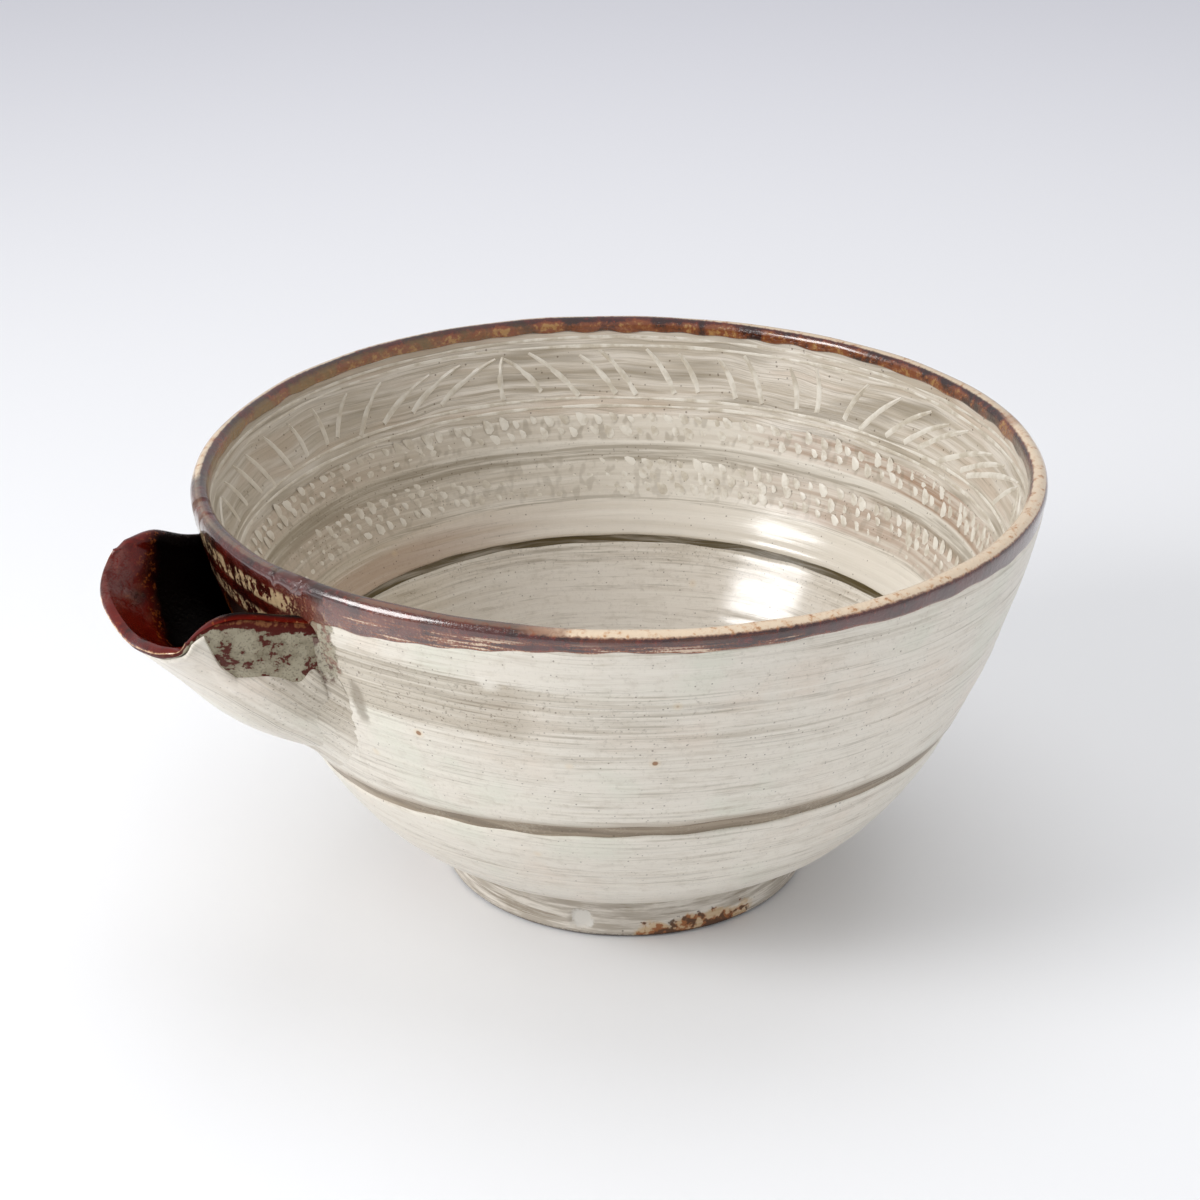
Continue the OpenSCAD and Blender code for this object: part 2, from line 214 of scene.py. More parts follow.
@dataclass(frozen=True)
class WallProfile:
    """Section of the thrown wall, in millimetres, as the solids have it.

    The wall runs out flat from the foot by belly_run and is pulled upright under the lip by rim_pull.
    The middle of the well sinks by well_dish. The slip and the glaze are coat_t thick, and ring_z is the
    height of the bare ring inside.
    """

    rim_r: float
    bowl_h: float
    foot_r: float
    foot_h: float
    foot_w: float = 6.0
    boss_h: float = 3.0
    foot_round: float = 1.2
    wall_t: float = 5.0
    lip_t: float = 3.4
    belly_run: float = 27.0
    rim_pull: float = 8.0
    well_dish: float = 1.5
    coat_t: float = 0.4
    ring_z: float = 40.5

    @classmethod
    def from_frame(cls) -> "WallProfile":
        """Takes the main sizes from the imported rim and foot.

        Returns:
            The section.
        """
        rim_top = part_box("rim_iron_band")[1] / MM
        foot_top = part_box("foot_ring")[1] / MM
        return cls(rim_r=rim_top.x, bowl_h=rim_top.z, foot_r=foot_top.x, foot_h=foot_top.z)

    @property
    def boss_r(self) -> float:
        """Radius of the boss that the foot ring goes round."""
        return self.foot_r - self.foot_w

    def curve(self, t: Array) -> tuple[Array, Array]:
        """The outside of the wall and its inward normal.

        Args:
            t: Places from 0 at the foot to 1 at the lip.

        Returns:
            Points and unit normals, each as rows of radius and height.
        """
        lip_z = self.bowl_h - self.lip_t / 2
        ctrl = np.array([
            (self.foot_r, self.foot_h),
            (self.foot_r + self.belly_run, self.foot_h),
            (self.rim_r, lip_z - self.rim_pull),
            (self.rim_r, lip_z),
        ])
        t = t[:, None]
        legs = np.diff(ctrl, axis=0)
        point = ((1 - t) ** 3 * ctrl[0] + 3 * (1 - t) ** 2 * t * ctrl[1]
                 + 3 * (1 - t) * t ** 2 * ctrl[2] + t ** 3 * ctrl[3])
        slope = unit_rows((1 - t) ** 2 * legs[0] + 2 * (1 - t) * t * legs[1] + t ** 2 * legs[2])
        return point, np.stack([-slope[:, 1], slope[:, 0]], axis=1)

    def finished_face(self, steps: int = 500) -> tuple[Array, int]:
        """The finished face from the foot up the outside, over the lip and down to the middle of the well.

        Args:
            steps: Points on each side of the wall.

        Returns:
            The points, and the number of the point at the lip's crown.
        """
        t = np.linspace(0, 1, steps)
        outside, inward = self.curve(t)
        thick = self.wall_t + (self.lip_t - self.wall_t) * t
        inside = outside + thick[:, None] * inward
        turn = np.linspace(0, math.pi, 61)[1:-1, None]
        middle = outside[-1] + self.lip_t / 2 * inward[-1]
        up = np.array([inward[-1, 1], -inward[-1, 0]])
        lip = middle + self.lip_t / 2 * (np.sin(turn) * up - np.cos(turn) * inward[-1])
        edge_r, edge_z = inside[0]
        well_r = np.linspace(edge_r, 0, 160)[1:]
        well = np.stack([well_r, edge_z - self.well_dish * (1 - (well_r / edge_r) ** 2)], axis=1)
        return np.concatenate([outside, lip, inside[::-1], well]), steps + len(lip) // 2


class SkinPath:
    """The bowl's finished face unrolled to one line, on which every coat is placed."""

    def __init__(self, wall: WallProfile) -> None:
        """Measures the line and its normals.

        Args:
            wall: Section of the bowl.
        """
        points, crown = wall.finished_face()
        steps = np.linalg.norm(np.diff(points, axis=0), axis=1)
        self.coat_t = wall.coat_t
        self.points = points
        self.run = np.concatenate([[0.0], np.cumsum(steps)])
        slope = unit_rows(np.gradient(points, self.run, axis=0))
        self.normal = np.stack([slope[:, 1], -slope[:, 0]], axis=1)
        self.crown = float(self.run[crown])
        self.end = float(self.run[-1])
        self._crown_row = crown

    def run_outside(self, z: Array | float) -> Array:
        """Run at which the outside reaches a height in millimetres."""
        return np.interp(z, self.points[:self._crown_row, 1], self.run[:self._crown_row])

    def run_inside(self, z: Array | float) -> Array:
        """Run at which the inside comes down to a height in millimetres."""
        return np.interp(z, self.points[self._crown_row:, 1][::-1], self.run[self._crown_row:][::-1])

    def outside_radius(self, z: Array | float, offset: float = 0.0) -> Array:
        """Radius of the outside at a height, moved out by an offset."""
        return np.interp(self.run_outside(z), self.run, self.points[:, 0] + offset * self.normal[:, 0])

    def place(self, theta: Array, run: Array, offset: Array | float) -> Array:
        """Points on the bowl.

        Args:
            theta: Angles round the bowl in radians.
            run: Distances along the line in millimetres.
            offset: Distances out from the finished face.

        Returns:
            Points in millimetres, along a last axis of three.
        """
        radius, height = (
            np.interp(run, self.run, face) + offset * np.interp(run, self.run, out)
            for face, out in zip(self.points.T, self.normal.T)
        )
        return turned(radius, height, theta)

    def coat_row(self, start: Array, stop: Array, part: float) -> Array:
        """One ring of a coat's back, buried in the clay part of the way between the coat's edges."""
        return self.place(THETA, start + (stop - start) * part, -self.coat_t - BURIED)

    def coat(self, start: Array, stop: Array, pitch: float, relief: Relief,
             edge: float = 0.8) -> tuple[list[Array], list[Array]]:
        """Rings of a coat that lies on the clay between two edges and thins out at both.

        Args:
            start: Run of the first edge at each column.
            stop: Run of the last edge at each column.
            pitch: Distance between rings in millimetres.
            relief: Height of the coat's surface above the finished face, by angle and run.
            edge: Width over which the coat rounds off.

        Returns:
            The rings, front first and then back, and the run of each of their points.
        """
        length = float(np.max(stop - start))
        count = max(int(math.ceil(length / pitch)), 3)
        near = edge / length * np.array([0.1, 0.3, 0.6])
        front = np.unique(np.concatenate([np.linspace(0, 1, count + 1), near, 1 - near]))
        back = np.linspace(1, 0, max(count // 4, 4))
        rows = []
        for part in front:
            run = start + (stop - start) * part
            inset = np.clip(np.minimum(run - start, stop - run) / edge, 0, 1)
            swell = np.sqrt(np.clip(1 - (1 - inset) ** 2, 0, 1))
            offset = (self.coat_t + relief(THETA, run)) * swell - self.coat_t - 0.05 * (1 - swell)
            rows.append(self.place(THETA, run, offset))
        rows += [self.coat_row(start, stop, part) for part in back]
        return rows, [start + (stop - start) * part for part in (*front, *back)]


@dataclass(frozen=True)
class HandWarp:
    """Lean and wobble that the bowl took on the wheel and in the kiln, the same for every layer.

    The rim leans towards lean_turn. Beside the spout, round push_turn, it is pushed out and sinks.
    """

    wall: WallProfile
    lean: float = 0.6
    lean_turn: float = 150.0
    push: float = 1.8
    sink: float = 1.6
    push_turn: float = 165.0
    push_half: float = 62.0
    wobble: float = 0.3
    noise: HandNoise = HandNoise(seed=5, turns=5)

    def apply(self, points: Array) -> Array:
        """Moves points of the true form to the hand-made one.

        Args:
            points: Rows of x, y and z in millimetres.

        Returns:
            The moved rows.
        """
        x, y, z = points.T
        radius = np.hypot(x, y)
        theta = np.arctan2(y, x)
        height = smooth(z, self.wall.foot_h, self.wall.bowl_h)
        pushed = turned_window(theta, self.push_turn, self.push_half)
        pushed = pushed * (1 - smooth(radius, self.wall.rim_r + 1, self.wall.rim_r + 14))
        out = height * (self.push * pushed + self.wobble * self.noise.at(theta))
        lean = math.radians(self.lean_turn)
        return np.stack([
            x + out * np.cos(theta) + self.lean * height * math.cos(lean),
            y + out * np.sin(theta) + self.lean * height * math.sin(lean),
            z - self.sink * pushed * height ** 2,
        ], axis=1)


@dataclass(frozen=True)
class Workshop:
    """Turns rows of points into closed, named pieces that carry the bowl's hand-made warp."""

    warp: HandWarp

    def piece(self, name: str, points: Array, faces: list,
              marks: dict[str, Array] | None = None) -> Piece:
        """Makes one object of points and faces.

        Args:
            name: Name of the piece.
            points: Rows of x, y and z in millimetres, before the warp.
            faces: Rows of point numbers.
            marks: A number for each point, by the name of the mark.

        Returns:
            The new object, linked to the scene.
        """
        mesh = bpy.data.meshes.new(name)
        mesh.from_pydata((self.warp.apply(points) * MM).tolist(), [], faces)
        for mark, numbers in (marks or {}).items():
            layer = mesh.attributes.new(mark, "FLOAT", "POINT")
            layer.data.foreach_set("value", np.asarray(numbers, np.float32).ravel())
        return self.link(name, mesh)

    @staticmethod
    def link(name: str, mesh: bpy.types.Mesh) -> Piece:
        """Turns a closed mesh outwards, smooths it and puts it in the scene.

        Args:
            name: Name of the piece.
            mesh: A closed mesh in metres.

        Returns:
            The new object.
        """
        form = bmesh.new()
        form.from_mesh(mesh)
        if form.calc_volume(signed=True) < 0:
            mesh.flip_normals()
        form.free()
        mesh.polygons.foreach_set("use_smooth", np.ones(len(mesh.polygons), bool))
        mesh.set_sharp_from_angle(angle=SHARP_ANGLE)
        mesh.update()
        obj = bpy.data.objects.new(name, mesh)
        bpy.context.scene.collection.objects.link(obj)
        return obj

    def round_body(self, name: str, rows: list[Array], closed: bool,
                   marks: dict[str, list[Array]] | None = None) -> Piece:
        """Skins rings of points that go round the bowl's axis.

        Args:
            name: Name of the piece.
            rows: Rings of equal count, or single points at the axis.
            closed: Whether the last ring joins the first.
            marks: A ring of numbers for each row, by the name of the mark.

        Returns:
            The new object.
        """
        counts = [len(row) for row in rows]
        starts = np.concatenate([[0], np.cumsum(counts)[:-1]]).tolist()
        pairs = list(zip(range(len(rows) - 1), range(1, len(rows))))
        if closed:
            pairs.append((len(rows) - 1, 0))
        faces: list = []
        for i, j in pairs:
            quads = ring_faces(starts[i], starts[j], max(counts[i], counts[j]))
            if counts[i] == 1 and counts[j] == 1:
                continue
            if counts[i] == 1:
                quads = [[starts[i], after, around] for _, _, after, around in quads]
            elif counts[j] == 1:
                quads = [[around, after, starts[j]] for around, after, _, _ in quads]
            faces.extend(quads)
        flat = {mark: np.concatenate([np.ravel(n) for n in rings]) for mark, rings in (marks or {}).items()}
        return self.piece(name, np.concatenate(rows), faces, flat)

    def patch_body(self, name: str, rings: Array, front: int, edge: int = 0,
                   marks: dict[str, Array] | None = None) -> Piece:
        """Skins rings that each go over a front, round an edge, along a back and round the other edge.

        Args:
            name: Name of the piece.
            rings: Points by ring, place in the ring and axis.
            front: Points on the front, and as many on the back.
            edge: Points on each edge.
            marks: A number for each point of the rings, by the name of the mark.

        Returns:
            The new object.
        """
        count, size = rings.shape[:2]
        faces: list = []
        for i in range(count - 1):
            faces.extend(ring_faces(i * size, (i + 1) * size, size))
        back = 2 * front + edge - 1
        lids = [[k, k + 1, back - k - 1, back - k] for k in range(front - 1)]
        if edge:
            lids.append(list(range(front - 1, front + edge + 1)))
            lids.append([back] + list(range(back + 1, size)) + [0])
        last = (count - 1) * size
        faces.extend(lid[::-1] for lid in lids)
        faces.extend([last + k for k in lid] for lid in lids)
        return self.piece(name, rings.reshape(-1, 3), faces, marks)


def sign(operation: str, swapped: bool = False) -> Callable[["Wire", "Wire | float"], "Wire"]:
    """An arithmetic sign between wires, as a Math node.

    Args:
        operation: What the node does.
        swapped: Whether a plain number stands first.

    Returns:
        A method for the wires.
    """

    def method(self: "Wire", other: "Wire | float") -> "Wire":
        """Adds the node."""
        return self.bench.math(operation, *((other, self) if swapped else (self, other)))

    return method


class Wire:
    """A socket of a node tree that takes part in sums as a number does."""

    def __init__(self, bench: "Bench", socket: bpy.types.NodeSocket) -> None:
        """Wraps an output of one of the tree's nodes."""
        self.bench = bench
        self.socket = socket

    __add__, __radd__ = sign("ADD"), sign("ADD", swapped=True)
    __sub__, __rsub__ = sign("SUBTRACT"), sign("SUBTRACT", swapped=True)
    __mul__, __rmul__ = sign("MULTIPLY"), sign("MULTIPLY", swapped=True)
    __truediv__, __rtruediv__ = sign("DIVIDE"), sign("DIVIDE", swapped=True)
    __pow__ = sign("POWER")

    def __abs__(self) -> "Wire":
        """Size without sign."""
        return self.bench.math("ABSOLUTE", self)

    def step(self, low: float, high: float) -> "Wire":
        """Eases from one place to another.

        Args:
            low: Where the ease starts.
            high: Where it ends, which may lie below the start.

        Returns:
            A number from 0 at low to 1 at high.
        """
        ends = (0.0, 1.0) if low < high else (1.0, 0.0)
        return self.bench.out(self.bench.node(
            "ShaderNodeMapRange", {"interpolation_type": "SMOOTHSTEP", "clamp": True},
            {0: self, 1: min(low, high), 2: max(low, high), 3: ends[0], 4: ends[1]},
        ))

    def window(self, low: float, high: float, soft: float) -> "Wire":
        """1 between low and high, eased to 0 over a soft distance beyond them."""
        return self.step(low - soft, low) * (1 - self.step(high, high + soft))


class Bench:
    """Builds the nodes of one shader or geometry tree."""

    def __init__(self, tree: bpy.types.NodeTree) -> None:
        """Takes an empty tree to build in."""
        self.tree = tree

    def node(self, kind: str, settings: dict | None = None, sockets: dict | None = None) -> bpy.types.Node:
        """Adds a node, sets it up and joins or fills its sockets.

        Args:
            kind: Type of the node.
            settings: Properties to set first.
            sockets: Values or wires by the name or number of the input.

        Returns:
            The new node.
        """
        node = self.tree.nodes.new(kind)
        for key, value in (settings or {}).items():
            setattr(node, key, value)
        self.fill(node, sockets or {})
        return node

    def fill(self, node: bpy.types.Node, sockets: dict) -> None:
        """Joins wires to a node's inputs, or sets plain values on them.

        Args:
            node: The node.
            sockets: Values or wires by the name or number of the input.
        """
        for key, value in sockets.items():
            if isinstance(value, Wire):
                self.tree.links.new(value.socket, node.inputs[key])
            else:
                node.inputs[key].default_value = value

    def out(self, node: bpy.types.Node, key: str | int = 0) -> Wire:
        """A wire from one of a node's outputs."""
        return Wire(self, node.outputs[key])

    def math(self, operation: str, *values: Wire | float) -> Wire:
        """A Math node on wires and numbers."""
        return self.out(self.node("ShaderNodeMath", {"operation": operation}, dict(enumerate(values))))

    def join(self, x: Wire | float, y: Wire | float, z: Wire | float) -> Wire:
        """A vector of three numbers."""
        return self.out(self.node("ShaderNodeCombineXYZ", sockets={0: x, 1: y, 2: z}))

    def split(self, vector: Wire) -> tuple[Wire, Wire, Wire]:
        """The three numbers of a vector."""
        node = self.node("ShaderNodeSeparateXYZ", sockets={0: vector})
        return self.out(node, 0), self.out(node, 1), self.out(node, 2)

    def mix(self, factor: Wire, first: "Wire | Fired | tuple", last: "Wire | Fired | tuple") -> Wire:
        """Blends two colours.

        Args:
            factor: 0 for the first colour and 1 for the last.
            first: A colour or a wire of one.
            last: A colour or a wire of one.

        Returns:
            The blended colour.
        """
        first, last = (end.linear if isinstance(end, Fired) else end for end in (first, last))
        settings = {"data_type": "RGBA", "clamp_factor": True}
        return self.out(self.node("ShaderNodeMix", settings, {0: factor, 6: first, 7: last}), 2)

    def noise(self, place: Wire, scale: float, detail: float, rough: float) -> Wire:
        """Soft noise from 0 to 1 round 0.5, with finer layers in it and a strength for them."""
        sockets = {"Vector": place, "Scale": scale, "Detail": detail, "Roughness": rough, "Distortion": 0.0}
        return self.out(self.node("ShaderNodeTexNoise", {"noise_dimensions": "3D"}, sockets))


class Paint:
    """One finish in the making: places on its piece in millimetres, its shader and the colour so far."""

    def __init__(self, name: str) -> None:
        """Starts the material, which reads the piece's own coordinates.

        Args:
            name: Name of the material.
        """
        self.material = bpy.data.materials.new(name)
        self.material.use_nodes = True
        self.material.node_tree.nodes.clear()
        bench = self.bench = Bench(self.material.node_tree)
        self.shader = bench.node("ShaderNodeBsdfPrincipled")
        bench.node("ShaderNodeOutputMaterial", sockets={"Surface": bench.out(self.shader)})
        coords = bench.out(bench.node("ShaderNodeTexCoord"), "Object")
        self.point = bench.out(bench.node("ShaderNodeVectorMath", {"operation": "SCALE"},
                                          {0: coords, "Scale": 1 / MM}))
        self.x, self.y, self.z = bench.split(self.point)
        self.radius = bench.math("SQRT", self.x * self.x + self.y * self.y + 1e-6)
        self.cos = self.x / self.radius
        self.sin = self.y / self.radius
        self.colour: Wire | None = None

    def start(self, factor: Wire, first: "Fired | tuple", last: "Fired | tuple") -> None:
        """Lays the ground, a blend of two colours."""
        self.colour = self.bench.mix(factor, first, last)

    def over(self, factor: Wire, colour: "Wire | Fired") -> None:
        """Lays a colour over what is there, where the factor is above 0."""
        self.colour = self.bench.mix(factor, self.colour, colour)

    def noise(self, scale: float, detail: float, rough: float = 0.5) -> Wire:
        """Noise with a number of grains in a millimetre."""
        return self.bench.noise(self.point, scale, detail, rough)

    def streaks(self, round_rate: float, rise: Wire, rise_rate: float, detail: float, rough: float) -> Wire:
        """Noise drawn out along the brush's turn, with grains per radian and per millimetre across it."""
        place = self.bench.join(self.cos * round_rate, self.sin * round_rate, rise * rise_rate)
        return self.bench.noise(place, 1.0, detail, rough)

    def grains(self, scale: float) -> tuple[Wire, Wire]:
        """Scatters grains over the surface.

        Args:
            scale: Grains in a millimetre.

        Returns:
            The distance from the nearest grain, and a random number for it.
        """
        node = self.bench.node("ShaderNodeTexVoronoi", {"voronoi_dimensions": "3D", "feature": "F1"},
                               {"Vector": self.point, "Scale": scale, "Randomness": 1.0})
        return self.bench.out(node, 0), self.bench.split(self.bench.out(node, 1))[0]

    def mark(self, name: str) -> Wire:
        """A number that the mesh carries at each point."""
        return self.bench.out(self.bench.node("ShaderNodeAttribute", {"attribute_name": name}), 2)

    def lobe(self, turn: float, half: float) -> Wire:
        """1 at a direction in degrees, eased to 0 at a half width in degrees."""
        facing = self.cos * math.cos(math.radians(turn)) + self.sin * math.sin(math.radians(turn))
        return facing.step(math.cos(math.radians(half)), 1.0)

    def aside(self, turn: float) -> Wire:
        """Distance round the wall from a direction in degrees, in millimetres."""
        angle = math.radians(turn)
        return self.y * math.cos(angle) - self.x * math.sin(angle)

    def away(self, point: tuple[float, float, float]) -> Wire:
        """Distance from a point, in millimetres."""
        node = self.bench.node("ShaderNodeVectorMath", {"operation": "DISTANCE"}, {0: self.point, 1: point})
        return self.bench.out(node, "Value")

    def glaze(self, sockets: dict[str, Wire | float]) -> None:
        """Joins or sets inputs of the shader, by name."""
        self.bench.fill(self.shader, sockets)

    def finish(self, rough: Wire, height: Wire, depth: float) -> bpy.types.Material:
        """Joins the colour, the roughness and the relief to the shader.

        Args:
            rough: Roughness over the surface.
            height: Relief from 0 to 1.
            depth: Height of the relief in millimetres.

        Returns:
            The finished material.
        """
        relief = {"Strength": 1.0, "Distance": depth * MM, "Height": height}
        bump = self.bench.node("ShaderNodeBump", sockets=relief)
        self.glaze({"Base Color": self.colour, "Roughness": rough, "Normal": self.bench.out(bump)})
        return self.material


@dataclass(frozen=True)
class BrushedSlip:
    """White slip laid on with a coarse brush under a clear glaze.

    A seed_shift moves the streaks, so that no two coats repeat, and relief is the depth of the brush marks.
    """

    place: SlipPlace
    seed_shift: float = 0.0
    rough: float = 0.3
    relief: float = 0.16

    def material(self) -> bpy.types.Material:
        """Builds the finish for its place.

        Returns:
            The material.
        """
        paint = Paint(f"brushed_slip_{self.place.value}_{self.seed_shift:.0f}")
        inside = self.place in (SlipPlace.INSIDE, SlipPlace.WELL)
        rise = self._rise(paint, inside)
        broad = paint.streaks(1.5, rise, 0.16, 2.0, 0.55)
        hair = paint.streaks(2.3, rise, 1.15, 4.0, 0.62)
        fine = paint.streaks(3.0, rise, 3.2, 3.0, 0.65)
        scratch = paint.streaks(1.4, rise, 1.7, 6.0, 0.72)
        dabs = paint.streaks(8.0, rise, 1.1, 3.0, 0.6)
        grain = paint.noise(1.2, 3.0, 0.72)
        mottle = paint.noise(0.42, 4.0, 0.66)
        cloud = paint.noise(0.05, 3.0, 0.55)
        grit = paint.noise(1.6, 2.0, 0.6)
        zone = self._bare_zone(paint)
        bare = (broad * 0.55 + hair * 0.75 + zone * 0.40 - 0.12).step(0.54, 0.84)
        line = fine.step(0.56, 0.80) * (0.35 + 0.65 * hair.step(0.40, 0.70))
        self._ground(paint, cloud)
        paint.over(bare * (0.50 + zone * 0.2), Fired.STREAK)
        paint.over(mottle.step(0.50, 0.72) * 0.25, Fired.STREAK)
        paint.over(dabs.step(0.50, 0.68) * (0.28 + zone * 0.35), Fired.STREAK)
        paint.over(hair.step(0.62, 0.30) * 0.30, Fired.CREAM_LIGHT)
        paint.over(grain.step(0.54, 0.74) * (0.24 + bare * 0.35 + zone * 0.4), Fired.STREAK_DARK)
        paint.over(line * (0.26 + zone * 0.4), Fired.STREAK_DARK)
        cut = (scratch + zone * 0.03 + (broad - 0.5) * 0.12).step(0.555, 0.60)
        paint.over(cut * (0.12 + dabs.step(0.35, 0.65) * 0.26 + zone * 0.3), Fired.STREAK_DARK)
        paint.over((1 - scratch).step(0.57, 0.62) * 0.40, Fired.CREAM_LIGHT)
        if self.place is SlipPlace.INSIDE:
            self._scraped_stripes(paint, rise, hair, fine)
        if self.place is SlipPlace.OUTSIDE:
            self._outside_marks(paint, hair, mottle, grain)
        if self.place is SlipPlace.SEAM:
            above = (paint.z + (mottle - 0.5) * 6.0).step(65.5, 67.5)
            self._bald(paint, above, mottle, grain, Fired.IRON)
        if inside:
            wet = paint.z.step(50.0, 43.0) * (0.72 - bare * 0.35)
            paint.glaze({"Coat Weight": wet, "Coat Roughness": 0.14})
        self._specks(paint, bare * 0.6 + zone * 0.3 + cloud * 0.5, grit)
        rough = self.rough + bare * 0.16 + (grit - 0.5) * 0.10
        if self.place is SlipPlace.INSIDE:
            rough = rough + paint.z.step(46.0, 54.0) * 0.24
        return paint.finish(rough, hair * 0.6 + fine * 0.35 + grit * 0.10 - bare * 0.15, self.relief)

    def _rise(self, paint: Paint, inside: bool) -> Wire:
        """Distance across the brush strokes, which go round the bowl or along the spout's keel.

        Args:
            paint: The finish in the making.
            inside: Whether the slip is inside the bowl.

        Returns:
            The distance in millimetres.
        """
        if self.place in (SlipPlace.KEEL, SlipPlace.SEAM):
            return paint.z * 0.77 + paint.x * 0.65 + paint.noise(0.07, 1.0) * 2.0 + self.seed_shift
        drift = paint.cos * 1.3 + paint.sin * 0.9 + paint.noise(0.03, 1.0) * 1.6
        up = paint.z * 0.55 + paint.radius * 0.75 if inside else paint.z
        return up + drift + self.seed_shift

    def _bare_zone(self, paint: Paint) -> Wire:
        """Where the brush ran dry and the clay greys the slip.

        Args:
            paint: The finish in the making.

        Returns:
            1 where the slip is thinnest and 0 where it is whole.
        """
        if self.place is SlipPlace.OUTSIDE:
            patch = paint.lobe(-150.0, 20.0).step(0.0, 0.5) * 0.75 + paint.lobe(-138.0, 42.0) * 0.35
            back = paint.lobe(95.0, 50.0) * paint.z.window(48.0, 70.0, 9.0) * 0.7
            return patch * paint.z.window(64.5, 72.5, 4.0) + back
        if self.place is SlipPlace.INSIDE:
            return paint.z.window(51.0, 59.5, 2.0) * 0.4 + paint.lobe(150.0, 80.0) * 0.4
        if self.place is SlipPlace.WELL:
            return paint.z.window(36.0, 40.0, 2.0) * 0.3
        beside = paint.lobe(-160.0, 9.0) * paint.z.window(58.0, 70.0, 3.0)
        return paint.z.window(44.0, 60.0, 8.0) * 0.35 + beside

    def _ground(self, paint: Paint, cloud: Wire) -> None:
        """Lays the slip before its streaks, with painted shade inside on the spout's side.

        Args:
            paint: The finish in the making.
            cloud: Slow noise.
        """
        blush = cloud.step(0.52, 0.72)
        if self.place is SlipPlace.INSIDE:
            paint.start(paint.z.window(42.0, 47.5, 1.5) * 0.55, Fired.SCRAPED, Fired.WASH_PINK)
            # Painted shade, browned with an ochre wash: the inner wall beside the spout, away from the key
            # lamp.
            paint.over(paint.lobe(165.0, 100.0) * 0.60, Fired.WASH)
            paint.over(paint.lobe(168.0, 85.0) * 0.55, Fired.WASH_OCHRE)
            paint.over(blush * 0.30, Fired.WASH_PINK)
        elif self.place is SlipPlace.WELL:
            paint.start(blush * 0.30, Fired.SCRAPED, Fired.CREAM)
            # Ochre towards the spout's side of the well: partly the wash's colour, partly painted shade.
            paint.over(paint.lobe(172.0, 105.0) * 0.68, Fired.WASH_OCHRE)
        else:
            paint.start(blush * 0.40, Fired.CREAM, Fired.BLUSH)
            paint.over(cloud.step(0.48, 0.30) * 0.40, Fired.CELADON)

    @staticmethod
    def _bald(paint: Paint, where: Wire, mottle: Wire, grain: Wire, iron: Fired) -> None:
        """Lays bare clay with dark grains and spots of iron.

        Args:
            paint: The finish in the making.
            where: 1 where the slip is off.
            mottle: Small noise.
            grain: Finer noise.
            iron: Colour of the spots.
        """
        paint.over(where * 0.95, Fired.FACET)
        paint.over(where * grain.step(0.48, 0.64) * 0.7, Fired.FOOT_EDGE)
        paint.over(where * mottle.step(0.48, 0.58) * 0.8, iron)

    def _outside_marks(self, paint: Paint, hair: Wire, mottle: Wire, grain: Wire) -> None:
        """Lays the soft hem over the groove, the smear beside the spout and a pale drop of slip.

        Args:
            paint: The finish in the making.
            hair: Streaks of the brush.
            mottle: Small noise.
            grain: Finer noise.
        """
        hem = (paint.mark("hem") + (hair - 0.5) * 3.0).step(2.6, 0.2)
        paint.over(hem * 0.8, Fired.GROOVE)
        spout_side = paint.x.step(0.0, -10.0)
        across = abs(paint.aside(-158.4) + (mottle - 0.5) * 3.0).step(1.9, 0.5) * spout_side
        paint.over(across * paint.z.window(60.0, 66.5, 2.5) * 0.75, Fired.STREAK_DARK)
        beside = (paint.aside(-159.8) + (mottle - 0.5) * 5.0).step(0.5, -0.5) * spout_side
        beside = beside * paint.lobe(180.0, 27.0).step(0.0, 0.3)
        bald = beside * (paint.z + (mottle - 0.5) * 4.0).step(67.5, 68.7)
        self._bald(paint, bald, mottle, grain, Fired.IRON_THIN)
        knob = (paint.away((-70.6, -25.6, 72.5)) + (mottle - 0.5) * 3.0).step(2.4, 1.2)
        drop = (paint.away((-58.3, -53.0, 74.5)) + (mottle - 0.5) * 2.5).step(2.6, 0.6)
        paint.over(knob + drop * 0.7, Fired.CREAM_LIGHT)

    @staticmethod
    def _scraped_stripes(paint: Paint, rise: Wire, hair: Wire, fine: Wire) -> None:
        """Lays painted light on the inner wall facing the key lamp, and grey and rusty stripes where the slip
        inside was scraped back to the clay.

        Args:
            paint: The finish in the making.
            rise: Distance across the brush strokes.
            hair: Streaks of the brush.
            fine: Finer streaks.
        """
        # Painted light: the inner wall facing the key lamp is paled, and the rope wash there is thinned.
        painted_key_light = paint.lobe(14.0, 100.0)
        paint.over(painted_key_light * 0.8, Fired.CREAM_LIGHT)
        rope = paint.z.window(60.8, 66.8, 0.8) + paint.z.window(49.5, 56.5, 1.5) * 0.7
        paint.over(rope * (0.35 + hair.step(0.35, 0.62) * 0.5) * (1 - painted_key_light * 0.5), Fired.WASH)
        rusty = rope * (paint.lobe(0.0, 44.0) * 0.95 + paint.lobe(135.0, 40.0) * 0.35)
        paint.over(rusty * (0.3 + hair.step(0.36, 0.62) * 0.7), Fired.WASH_RUST)
        dark = paint.z.window(56.6, 59.2, 1.0) * (0.25 + hair.step(0.42, 0.58) * 0.55)
        dark = dark + paint.z.window(65.4, 67.6, 0.8) * paint.lobe(140.0, 50.0) * hair.step(0.40, 0.58)
        dark = dark + paint.z.window(48.2, 48.9, 0.5) * fine.step(0.45, 0.6) * 0.6
        paint.over(dark * 0.80, Fired.WASH_DARK)
        paint.over(paint.z.window(41.0, 45.0, 2.5) * paint.lobe(130.0, 60.0) * 0.6, Fired.WASH_RUST)
        pits = paint.streaks(34.0, rise, 0.42, 1.0, 0.5)
        paint.over(rope * pits.step(0.52, 0.66) * 0.38, Fired.WASH_DARK)

